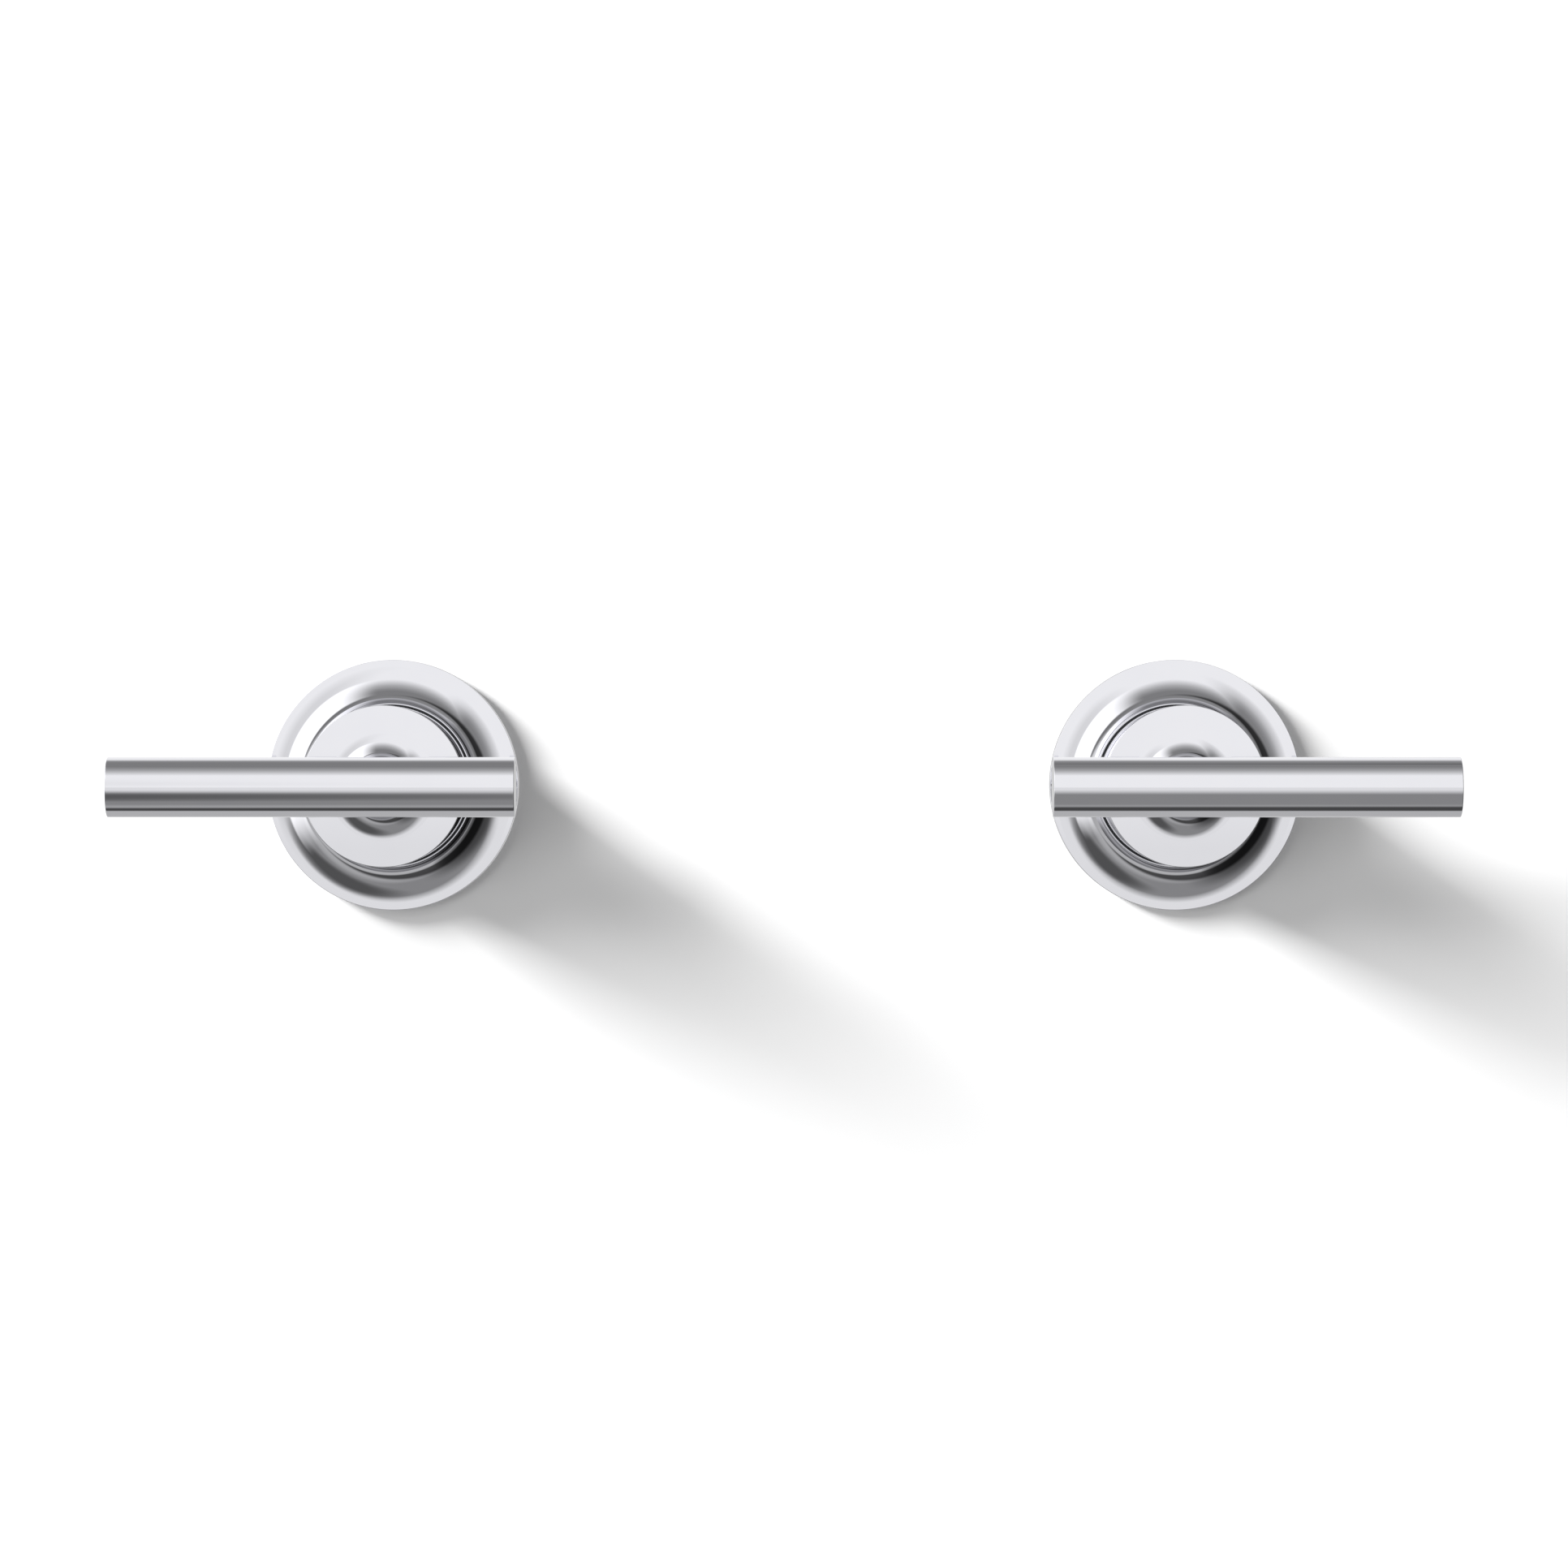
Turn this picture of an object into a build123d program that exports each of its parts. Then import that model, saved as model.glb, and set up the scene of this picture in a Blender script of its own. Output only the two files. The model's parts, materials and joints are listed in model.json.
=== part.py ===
# A mirrored pair of door lever handles, each a round bar on a turned hub over a flared rose.
# The door face is the XZ plane at y = 0, +Z is up and the handles stand out towards -Y.
# All sizes are in millimetres, and every height is measured out from the door face.
import math
import os

from build123d import *

os.makedirs("parts", exist_ok=True)

# Clearances
SEAT_GAP = 0.02
RUNNING_GAP = 0.05
FLOAT_GAP = 0.1
SCREW_GAP = 0.2
SLIP_GAP = 0.4
SHADOW_GAP = 0.6

# The pair, and how far each lever turns
PAIR_SPACING = 203.2
TURN_RANGE = 45.0

# Lever bar
BAR_R = 7.5
BAR_OUT = 67.0
BAR_IN = 34.6
BAR_EDGE = 0.2

# Hub with its neck
HUB_R = 20.55
HUB_WALL = 2.15
HUB_TOP = 45.8
HUB_ROOF = 3.5
HUB_EDGE = 0.2
NECK_RISE = 24.4
NECK_INSET = 0.5
NECK_COVE_R = 6.8
NECK_WALL = 0.8
HEAD_SEAT_RISE = 3.2

# Rose
ROSE_WALL = 1.7
RIM_WIDTH = 1.3
RIM_EDGE = 0.1
COVE_R = 10.2
COVE_ANGLE = 78.0
LIP_STEP = 0.67
LIP_EDGE = 0.3

# Mounting plate behind the rose, with the rubber ring that grips the rose
PLATE_T = 3.0
GRIP_R = 0.85

# Bolts through the door, with a slim shank under the head, and their washers
BOLT_PITCH = 38.0
BOLT_R = 2.0
BOLT_SHANK_R = 1.77
BOLT_TAIL = 42.0
BOLT_TIP = 0.5
BOLT_HEAD_R = 3.7
BOLT_HEAD = 2.4
BOLT_KEY_R = 1.5
BOLT_KEY_DEPTH = 1.5
WASHER_R = 4.2
WASHER_T = 0.8

# Spindle, and the sleeve that carries it
SPINDLE_W = 8.0
SPINDLE_TAIL = 45.0
SPINDLE_TIP = 0.8
SOCKET_GAP = 0.1
SLEEVE_WALL = 3.2
SLEEVE_FOOT = 1.0
SLEEVE_LEAD = 0.6
FLANGE_T = 5.5
SPIGOT_T = 1.3

# Bearing tower, its bushes and the washer on top
BUSH_WALL = 1.0
BUSH_LENGTH = 8.0
TOWER_WALL = 2.0
TOWER_FOOT_WIDTH = 3.4
TOWER_FOOT_T = 3.0
SEAT_STEP = 0.6
SEAT_FLAT_STEP = 0.6
THRUST_T = 0.7

# Stop ring and pin
STOP_RING_T = 3.0
STOP_PIN_R = 1.4
STOP_RING_WALL = 1.1
STOP_ANGLE = 30.0
STOP_PIN_END = 0.6

# Return spring
WIRE_R = 1.0
WIRE_SIDES = 6
COIL_GAP = 1.7
COIL_QUARTERS = 13
COIL_RISE = 4.0
COIL_PITCH = 3.6
COIL_SAMPLES = 4
LEG_BEND = 2.0
LEG_SLOPE = 0.06
LEG_GROOVE_DEPTH = 1.2

# Screws
KEY_SIDES = 6
SCREW_COUNT = 3
BAR_SCREW_R = 3.0
BAR_SCREW_HEAD = 5.0
BAR_SCREW_RIM = 1.2
BAR_SCREW_KEY_R = 2.6
BAR_SCREW_KEY_DEPTH = 3.0
BAR_SCREW_REACH = 2.8
SCREW_TIP = 0.6
SMALL_SCREW_R = 1.5
SMALL_HEAD_R = 2.6
SMALL_KEY_R = 1.3
SLEEVE_SCREW_HEAD = 2.6
SLEEVE_SCREW_BITE = 2.4
TOWER_SCREW_HEAD = 1.5
TOWER_SCREW_BITE = 2.6
SMALL_KEY_DEPTH = 0.8
GRUB_R = 2.0
GRUB_DROP = 2.8
GRUB_LENGTH = 9.0
GRUB_KEY_R = 1.15
GRUB_KEY_DEPTH = 2.5

# Heights that follow from the sizes above
ROSE_RIM = PLATE_T + SHADOW_GAP + ROSE_WALL
LIP_TOP = ROSE_RIM + COVE_R * (1 - math.cos(math.radians(COVE_ANGLE)))
HUB_MOUTH = LIP_TOP + SHADOW_GAP
HUB_CEILING = HUB_TOP - HUB_ROOF
BAR_AXIS = HUB_TOP + NECK_RISE
HEAD_SEAT = HUB_TOP + HEAD_SEAT_RISE
FLANGE_FOOT = HUB_CEILING - FLANGE_T
TOWER_TOP = FLANGE_FOOT - FLOAT_GAP - THRUST_T
TOWER_SHOULDER = TOWER_TOP - STOP_RING_T
TOWER_FOOT = PLATE_T + TOWER_FOOT_T
COIL_START = TOWER_FOOT + COIL_RISE
COIL_HEIGHT = COIL_PITCH * COIL_QUARTERS / 4
GRUB_HEIGHT = HUB_CEILING - GRUB_DROP
SPINDLE_TOP = GRUB_HEIGHT + GRUB_R

# Radii that follow from the sizes above
COVE_START_R = HUB_R + LIP_STEP + COVE_R * math.sin(math.radians(COVE_ANGLE))
ROSE_R = COVE_START_R + RIM_WIDTH
ROSE_BORE_R = ROSE_R - ROSE_WALL
PLATE_R = ROSE_BORE_R - SLIP_GAP
GRIP_CIRCLE = ROSE_BORE_R - GRIP_R
HUB_BORE_R = HUB_R - HUB_WALL
NECK_R = BAR_R - NECK_INSET
HEAD_POCKET_R = NECK_R - NECK_WALL
SOCKET_W = SPINDLE_W + SOCKET_GAP
SLEEVE_R = SOCKET_W / math.sqrt(2) + SLEEVE_WALL
BUSH_BORE_R = SLEEVE_R + RUNNING_GAP
BUSH_R = BUSH_BORE_R + BUSH_WALL
TOWER_BORE_R = BUSH_R + SEAT_GAP
TOWER_R = TOWER_BORE_R + TOWER_WALL
TOWER_SEAT_R = TOWER_R - SEAT_STEP
TOWER_SEAT_FLAT = TOWER_SEAT_R - SEAT_FLAT_STEP
TOWER_FOOT_R = TOWER_R + TOWER_FOOT_WIDTH
TOWER_SCREW_CIRCLE = (TOWER_BORE_R + TOWER_FOOT_R) / 2
PLATE_BORE_R = SLEEVE_R + SHADOW_GAP
STOP_SLOT_R = STOP_PIN_R + SLIP_GAP
STOP_CIRCLE = TOWER_SEAT_R + STOP_RING_WALL + STOP_SLOT_R
STOP_RING_R = STOP_CIRCLE + STOP_SLOT_R + STOP_RING_WALL
FLANGE_R = STOP_CIRCLE + STOP_PIN_R + STOP_RING_WALL
SLEEVE_SCREW_CIRCLE = SLEEVE_R + SMALL_HEAD_R + STOP_RING_WALL
COIL_R = TOWER_R + COIL_GAP + WIRE_R
LEG_REACH = HUB_BORE_R + LEG_GROOVE_DEPTH - SLIP_GAP
LEG_ROOT = (TOWER_BORE_R + TOWER_R) / 2

# Angles of the screws and of the coil's foot
SLEEVE_SCREW_ANGLE = 90
TOWER_SCREW_ANGLE = 0
COIL_ANGLE = -90

LEFT = -PAIR_SPACING / 2
TURN = Axis((LEFT, 0, 0), (0, -1, 0))

# Half section of the left handle, radius across and height upwards
SECTION = Plane(origin=(LEFT, 0, 0), x_dir=(1, 0, 0), z_dir=(0, 0, -1))


# Plane parallel to the door face at a height, seen from the front
def face_at(height):
    return Plane(origin=(LEFT, -height, 0), x_dir=(1, 0, 0), z_dir=(0, -1, 0))


# Plane across the bar at a distance along it from the turning axis
def across_bar(along):
    return Plane(origin=(LEFT + along, -BAR_AXIS, 0), x_dir=(0, 1, 0), z_dir=(1, 0, 0))


# Plane that looks up at the turning axis from a depth below it
def from_below(depth, height, along=0):
    return Plane(origin=(LEFT + along, -height, -depth), x_dir=(1, 0, 0), z_dir=(0, 0, 1))


left_pieces = {}

# Lever bar: round rod with softened ends and a tapped hole in its underside
with BuildPart() as lever_bar:
    with BuildSketch(across_bar(-BAR_OUT)):
        Circle(BAR_R)
    extrude(amount=BAR_OUT + BAR_IN)
    chamfer(lever_bar.edges().filter_by(GeomType.CIRCLE), length=BAR_EDGE)
    with BuildSketch(face_at(BAR_AXIS + BAR_SCREW_REACH + SLIP_GAP)):
        Circle(BAR_SCREW_R + SEAT_GAP)
    extrude(amount=-2 * BAR_R, mode=Mode.SUBTRACT)
left_pieces["lever_bar"] = lever_bar

# Hub: deep cup with a coved neck on its closed end, coped to sit against the bar
with BuildPart() as hub:
    with BuildSketch(SECTION):
        with BuildLine():
            mouth = Line((HUB_BORE_R, HUB_MOUTH), (HUB_R, HUB_MOUTH))
            skirt = Line(mouth @ 1, (HUB_R, HUB_TOP))
            disc = Line(skirt @ 1, (NECK_R + NECK_COVE_R, HUB_TOP))
            cove = CenterArc((NECK_R + NECK_COVE_R, HUB_TOP + NECK_COVE_R), NECK_COVE_R, 270, -90)
            neck = Line(cove @ 1, (NECK_R, BAR_AXIS))
            neck_end = Line(neck @ 1, (BAR_SCREW_R + SCREW_GAP, BAR_AXIS))
            neck_bore = Line(neck_end @ 1, (BAR_SCREW_R + SCREW_GAP, HEAD_SEAT))
            seat = Line(neck_bore @ 1, (HEAD_POCKET_R, HEAD_SEAT))
            pocket = Line(seat @ 1, (HEAD_POCKET_R, HUB_CEILING))
            ceiling = Line(pocket @ 1, (HUB_BORE_R, HUB_CEILING))
            bore = Line(ceiling @ 1, mouth @ 0)
        make_face()
    revolve(axis=TURN)
    outer_edges = hub.edges().filter_by(GeomType.CIRCLE).filter_by(lambda e: e.radius > HUB_R - SEAT_GAP)
    chamfer(outer_edges, length=HUB_EDGE)
    with BuildSketch(across_bar(-HUB_R)):
        Circle(BAR_R + SEAT_GAP)
    extrude(amount=2 * HUB_R, mode=Mode.SUBTRACT)
    with BuildSketch(face_at(HUB_CEILING)):
        with PolarLocations(SLEEVE_SCREW_CIRCLE, SCREW_COUNT, start_angle=SLEEVE_SCREW_ANGLE):
            Circle(SMALL_SCREW_R + SEAT_GAP)
    extrude(amount=SLEEVE_SCREW_BITE + FLOAT_GAP, mode=Mode.SUBTRACT)
    with BuildSketch(from_below(HUB_R, GRUB_HEIGHT)):
        Circle(GRUB_R + SCREW_GAP)
    extrude(amount=2 * HUB_WALL, mode=Mode.SUBTRACT)
    with BuildSketch(face_at(0)):
        with Locations((HUB_BORE_R, LEG_BEND)):
            Rectangle(2 * LEG_GROOVE_DEPTH, 2 * (WIRE_R + SLIP_GAP))
    extrude(amount=COIL_START + COIL_HEIGHT + 2 * WIRE_R, mode=Mode.SUBTRACT)
left_pieces["hub"] = hub

# Bar screw: cap screw up through the neck into the bar
with BuildPart() as bar_screw:
    with BuildSketch(face_at(HEAD_SEAT)):
        Circle(BAR_SCREW_R)
    extrude(amount=BAR_AXIS + BAR_SCREW_REACH - HEAD_SEAT)
    chamfer(bar_screw.edges().filter_by(GeomType.CIRCLE).sort_by(Axis.Y)[0], length=SCREW_TIP)
    with BuildSketch(face_at(HEAD_SEAT)):
        Circle(HEAD_POCKET_R - BAR_SCREW_RIM)
    extrude(amount=-BAR_SCREW_HEAD)
    with BuildSketch(face_at(HEAD_SEAT - BAR_SCREW_HEAD)):
        RegularPolygon(BAR_SCREW_KEY_R, KEY_SIDES)
    extrude(amount=BAR_SCREW_KEY_DEPTH, mode=Mode.SUBTRACT)
left_pieces["bar_screw"] = bar_screw

# Drive sleeve: flanged stem with a square socket for the spindle
with BuildPart() as drive_sleeve:
    with BuildSketch(face_at(SLEEVE_FOOT)):
        Circle(SLEEVE_R)
    extrude(amount=FLANGE_FOOT - SLEEVE_FOOT)
    with BuildSketch(face_at(FLANGE_FOOT)):
        Circle(FLANGE_R)
    extrude(amount=FLANGE_T)
    with BuildSketch(face_at(HUB_CEILING)):
        Circle(HEAD_POCKET_R - FLOAT_GAP)
    extrude(amount=SPIGOT_T)
    chamfer(drive_sleeve.edges().filter_by(GeomType.CIRCLE).sort_by(Axis.Y)[-1], length=SLEEVE_LEAD)
    with BuildSketch(face_at(SLEEVE_FOOT)):
        Rectangle(SOCKET_W, SOCKET_W)
    extrude(amount=SPINDLE_TOP + FLOAT_GAP - SLEEVE_FOOT, mode=Mode.SUBTRACT)
    with BuildSketch(face_at(FLANGE_FOOT)):
        with PolarLocations(SLEEVE_SCREW_CIRCLE, SCREW_COUNT, start_angle=SLEEVE_SCREW_ANGLE):
            Circle(SMALL_SCREW_R + SCREW_GAP)
        with PolarLocations(STOP_CIRCLE, 1, start_angle=STOP_ANGLE):
            Circle(STOP_PIN_R + SEAT_GAP)
    extrude(amount=FLANGE_T, mode=Mode.SUBTRACT)
    with BuildSketch(face_at(FLANGE_FOOT)):
        with PolarLocations(SLEEVE_SCREW_CIRCLE, SCREW_COUNT, start_angle=SLEEVE_SCREW_ANGLE):
            Circle(SMALL_HEAD_R + SCREW_GAP)
    extrude(amount=SLEEVE_SCREW_HEAD + SLIP_GAP, mode=Mode.SUBTRACT)
    with BuildSketch(from_below(FLANGE_R, GRUB_HEIGHT)):
        Circle(GRUB_R + SEAT_GAP)
    extrude(amount=FLANGE_R, mode=Mode.SUBTRACT)
left_pieces["drive_sleeve"] = drive_sleeve

# Sleeve screws: three cap screws that hold the sleeve up against the hub
with BuildPart() as sleeve_screws:
    head_seat = FLANGE_FOOT + SLIP_GAP + SLEEVE_SCREW_HEAD
    with BuildSketch(face_at(head_seat)):
        with PolarLocations(SLEEVE_SCREW_CIRCLE, SCREW_COUNT, start_angle=SLEEVE_SCREW_ANGLE):
            Circle(SMALL_SCREW_R)
    extrude(amount=HUB_CEILING + SLEEVE_SCREW_BITE - head_seat)
    with BuildSketch(face_at(head_seat)):
        with PolarLocations(SLEEVE_SCREW_CIRCLE, SCREW_COUNT, start_angle=SLEEVE_SCREW_ANGLE):
            Circle(SMALL_HEAD_R)
    extrude(amount=-SLEEVE_SCREW_HEAD)
    with BuildSketch(face_at(head_seat - SLEEVE_SCREW_HEAD)):
        with PolarLocations(SLEEVE_SCREW_CIRCLE, SCREW_COUNT, start_angle=SLEEVE_SCREW_ANGLE):
            RegularPolygon(SMALL_KEY_R, KEY_SIDES)
    extrude(amount=SMALL_KEY_DEPTH, mode=Mode.SUBTRACT)
left_pieces["sleeve_screws"] = sleeve_screws

# Grub screw: clamps the sleeve to the spindle, reached through a hole under the hub
with BuildPart() as grub_screw:
    with BuildSketch(from_below(SPINDLE_W / 2, GRUB_HEIGHT)):
        Circle(GRUB_R)
    extrude(amount=-GRUB_LENGTH)
    with BuildSketch(from_below(SPINDLE_W / 2 + GRUB_LENGTH, GRUB_HEIGHT)):
        RegularPolygon(GRUB_KEY_R, KEY_SIDES)
    extrude(amount=GRUB_KEY_DEPTH, mode=Mode.SUBTRACT)
left_pieces["grub_screw"] = grub_screw

# Spindle: square bar that goes through the door to the latch
with BuildPart() as spindle:
    with BuildSketch(face_at(-SPINDLE_TAIL)):
        Rectangle(SPINDLE_W, SPINDLE_W)
    extrude(amount=SPINDLE_TOP + SPINDLE_TAIL)
    chamfer(spindle.faces().sort_by(Axis.Y)[-1].edges(), length=SPINDLE_TIP)
left_pieces["spindle"] = spindle

# Stop pin: hangs from the sleeve flange into the slot of the stop ring
with BuildPart() as stop_pin:
    with BuildSketch(face_at(TOWER_SHOULDER + STOP_PIN_END)):
        with PolarLocations(STOP_CIRCLE, 1, start_angle=STOP_ANGLE):
            Circle(STOP_PIN_R)
    extrude(amount=HUB_CEILING - TOWER_SHOULDER - STOP_PIN_END)
left_pieces["stop_pin"] = stop_pin

# Thrust washer between the top of the tower and the sleeve flange
with BuildPart() as thrust_washer:
    with BuildSketch(face_at(TOWER_TOP)):
        Circle(TOWER_SEAT_R)
        Circle(SLEEVE_R + SLIP_GAP, mode=Mode.SUBTRACT)
    extrude(amount=THRUST_T)
left_pieces["thrust_washer"] = thrust_washer

# Two plain bushes in which the sleeve turns
with BuildPart() as upper_bush:
    with BuildSketch(face_at(TOWER_TOP)):
        Circle(BUSH_R)
        Circle(BUSH_BORE_R, mode=Mode.SUBTRACT)
    extrude(amount=-BUSH_LENGTH)
left_pieces["upper_bush"] = upper_bush

with BuildPart() as lower_bush:
    with BuildSketch(face_at(PLATE_T)):
        Circle(BUSH_R)
        Circle(BUSH_BORE_R, mode=Mode.SUBTRACT)
    extrude(amount=BUSH_LENGTH)
left_pieces["lower_bush"] = lower_bush

# Bearing tower: footed tube that carries the hub out from the door
with BuildPart() as bearing_tower:
    with BuildSketch(SECTION):
        with BuildLine():
            Polyline(
                (TOWER_BORE_R, PLATE_T),
                (TOWER_FOOT_R, PLATE_T),
                (TOWER_FOOT_R, TOWER_FOOT),
                (TOWER_R, TOWER_FOOT),
                (TOWER_R, TOWER_SHOULDER),
                (TOWER_SEAT_R, TOWER_SHOULDER),
                (TOWER_SEAT_R, TOWER_TOP),
                (TOWER_BORE_R, TOWER_TOP),
                close=True,
            )
        make_face()
    revolve(axis=TURN)
    with BuildSketch(face_at(TOWER_SHOULDER)):
        Circle(TOWER_R)
        Rectangle(2 * TOWER_SEAT_FLAT, 2 * TOWER_R, mode=Mode.SUBTRACT)
    extrude(amount=STOP_RING_T, mode=Mode.SUBTRACT)
    with BuildSketch(face_at(PLATE_T)):
        with PolarLocations(TOWER_SCREW_CIRCLE, SCREW_COUNT, start_angle=TOWER_SCREW_ANGLE):
            Circle(SMALL_SCREW_R + SEAT_GAP)
    extrude(amount=TOWER_SCREW_BITE + FLOAT_GAP, mode=Mode.SUBTRACT)
    with BuildSketch(face_at(PLATE_T)):
        with GridLocations(0, BOLT_PITCH, 1, 2):
            Circle(WASHER_R + SCREW_GAP)
    extrude(amount=TOWER_FOOT_T, mode=Mode.SUBTRACT)
    with BuildSketch(from_below(TOWER_FOOT_R, COIL_START, -LEG_BEND)):
        Circle(WIRE_R + SCREW_GAP)
    extrude(amount=TOWER_FOOT_R - TOWER_BORE_R / 2, mode=Mode.SUBTRACT)
left_pieces["bearing_tower"] = bearing_tower

# Stop ring: keyed on the tower, its slot gives the pin the turning range
with BuildLine() as slot_line:
    CenterArc((0, 0), STOP_CIRCLE, STOP_ANGLE, TURN_RANGE)

with BuildPart() as stop_ring:
    with BuildSketch(face_at(TOWER_SHOULDER)):
        Circle(STOP_RING_R)
        SlotArc(slot_line.edges()[0], 2 * STOP_SLOT_R, mode=Mode.SUBTRACT)
    extrude(amount=STOP_RING_T)
    with BuildSketch(face_at(TOWER_SHOULDER)):
        Circle(TOWER_SEAT_R + SEAT_GAP)
        Rectangle(2 * (TOWER_SEAT_FLAT + SEAT_GAP), 2 * TOWER_R, mode=Mode.INTERSECT)
    extrude(amount=STOP_RING_T, mode=Mode.SUBTRACT)
left_pieces["stop_ring"] = stop_ring

# Return spring: one wire wound round the tower, one leg in the tower and one in the hub
def coil_point(quarters):
    angle = math.radians(COIL_ANGLE + 90 * quarters)
    height = COIL_START + COIL_HEIGHT * quarters / COIL_QUARTERS
    return Vector(LEFT + COIL_R * math.cos(angle), -height, COIL_R * math.sin(angle))


def coil_direction(quarters):
    angle = math.radians(COIL_ANGLE + 90 * quarters)
    rise = COIL_HEIGHT / math.radians(90 * COIL_QUARTERS)
    return Vector(-COIL_R * math.sin(angle), -rise, COIL_R * math.cos(angle)).normalized()


# Where two arcs meet that follow one quarter turn of the coil
def arcs_meet(quarters):
    start_way = coil_direction(quarters)
    end_way = coil_direction(quarters + 1)
    chord = coil_point(quarters + 1) - coil_point(quarters)
    along = chord.dot(start_way + end_way)
    spread = 2 * (1 - start_way.dot(end_way))
    reach = (math.sqrt(along**2 + spread * chord.length**2) - along) / spread
    return coil_point(quarters) + (chord + (start_way - end_way) * reach) * 0.5


with BuildPart() as return_spring:
    with BuildLine() as wire:
        for quarter in range(COIL_QUARTERS):
            joint = arcs_meet(quarter)
            rising_arc = TangentArc(coil_point(quarter), joint, tangent=coil_direction(quarter))
            TangentArc(joint, coil_point(quarter + 1), tangent=rising_arc % 1)
        outer_start = coil_point(COIL_QUARTERS)
        outer_end = (LEFT + COIL_R + LEG_BEND, outer_start.Y - LEG_SLOPE, LEG_BEND)
        outer_bend = TangentArc(outer_start, outer_end, tangent=coil_direction(COIL_QUARTERS))
        outer_leg = Line(outer_bend @ 1, outer_bend @ 1 + (outer_bend % 1) * (LEG_REACH - COIL_R - LEG_BEND))
        inner_end = (LEFT - LEG_BEND, LEG_SLOPE - COIL_START, LEG_BEND - COIL_R)
        inner_bend = TangentArc(coil_point(0), inner_end, tangent=coil_direction(0) * -1)
        inner_leg = Line(inner_bend @ 1, inner_bend @ 1 + (inner_bend % 1) * (COIL_R - LEG_BEND - LEG_ROOT))
    with BuildSketch(Plane(origin=outer_leg @ 1, z_dir=outer_leg % 1)):
        RegularPolygon(WIRE_R, WIRE_SIDES)
    sweep(path=wire.line)
left_pieces["return_spring"] = return_spring

# Least gap of the wire to itself, between points at least half a turn apart
coil_samples = [coil_point(step / COIL_SAMPLES) for step in range(COIL_SAMPLES * COIL_QUARTERS + 1)]
half_turn = 2 * COIL_SAMPLES
apart = [(a - b).length for i, a in enumerate(coil_samples) for b in coil_samples[i + half_turn :]]
print("return spring: least gap to itself", round(min(apart) - 2 * WIRE_R, 2), "mm")

# Mounting plate: flat disc with a grooved edge, screwed to the tower from behind
with BuildPart() as mounting_plate:
    with BuildSketch(SECTION):
        with Locations(((PLATE_BORE_R + PLATE_R) / 2, PLATE_T / 2)):
            Rectangle(PLATE_R - PLATE_BORE_R, PLATE_T)
        with Locations((GRIP_CIRCLE + GRIP_R, PLATE_T / 2)):
            Rectangle(4 * GRIP_R, 2 * GRIP_R + FLOAT_GAP, mode=Mode.SUBTRACT)
    revolve(axis=TURN)
    with BuildSketch(face_at(0)):
        with GridLocations(0, BOLT_PITCH, 1, 2):
            Circle(BOLT_R + SCREW_GAP)
        with PolarLocations(TOWER_SCREW_CIRCLE, SCREW_COUNT, start_angle=TOWER_SCREW_ANGLE):
            Circle(SMALL_SCREW_R + SCREW_GAP)
    extrude(amount=PLATE_T, mode=Mode.SUBTRACT)
    with BuildSketch(face_at(0)):
        with PolarLocations(TOWER_SCREW_CIRCLE, SCREW_COUNT, start_angle=TOWER_SCREW_ANGLE):
            Circle(SMALL_HEAD_R + FLOAT_GAP)
    extrude(amount=SCREW_GAP + TOWER_SCREW_HEAD, mode=Mode.SUBTRACT)
left_pieces["mounting_plate"] = mounting_plate

# Tower screws: three low-headed screws sunk in the back of the plate
with BuildPart() as tower_screws:
    head_seat = SCREW_GAP + TOWER_SCREW_HEAD
    with BuildSketch(face_at(head_seat)):
        with PolarLocations(TOWER_SCREW_CIRCLE, SCREW_COUNT, start_angle=TOWER_SCREW_ANGLE):
            Circle(SMALL_SCREW_R)
    extrude(amount=PLATE_T + TOWER_SCREW_BITE - head_seat)
    with BuildSketch(face_at(head_seat)):
        with PolarLocations(TOWER_SCREW_CIRCLE, SCREW_COUNT, start_angle=TOWER_SCREW_ANGLE):
            Circle(SMALL_HEAD_R)
    extrude(amount=-TOWER_SCREW_HEAD)
    with BuildSketch(face_at(SCREW_GAP)):
        with PolarLocations(TOWER_SCREW_CIRCLE, SCREW_COUNT, start_angle=TOWER_SCREW_ANGLE):
            RegularPolygon(SMALL_KEY_R, KEY_SIDES)
    extrude(amount=SMALL_KEY_DEPTH, mode=Mode.SUBTRACT)
left_pieces["tower_screws"] = tower_screws

# Grip ring: rubber ring in the edge of the plate that holds the rose on
with BuildPart() as grip_ring:
    with BuildSketch(SECTION):
        with Locations((GRIP_CIRCLE, PLATE_T / 2)):
            Rectangle(2 * (GRIP_R - SEAT_GAP), 2 * GRIP_R)
    revolve(axis=TURN)
left_pieces["grip_ring"] = grip_ring

# Rose: spun shell, its flat rim flows in one hollow curve up to the hub
with BuildPart() as rose:
    with BuildSketch(SECTION):
        with BuildLine():
            foot = Line((ROSE_BORE_R, 0), (ROSE_R, 0))
            edge = Line(foot @ 1, (ROSE_R, ROSE_RIM))
            rim = Line(edge @ 1, (COVE_START_R, ROSE_RIM))
            hollow = CenterArc((COVE_START_R, ROSE_RIM + COVE_R), COVE_R, 270, -COVE_ANGLE)
            inside = CenterArc((COVE_START_R, ROSE_RIM + COVE_R), COVE_R + ROSE_WALL, 270, -COVE_ANGLE)
            lip = Line(hollow @ 1, inside @ 1)
            inner_rim = Line(inside @ 0, (ROSE_BORE_R, ROSE_RIM - ROSE_WALL))
            inner_wall = Line(inner_rim @ 1, foot @ 0)
        make_face()
    revolve(axis=TURN)
    circles = rose.edges().filter_by(GeomType.CIRCLE)
    chamfer(circles.filter_by(lambda e: e.radius > ROSE_R - SEAT_GAP).sort_by(Axis.Y)[0], length=RIM_EDGE)
    chamfer(rose.edges().filter_by(GeomType.CIRCLE).sort_by(Axis.Y)[0], length=LIP_EDGE)
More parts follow.
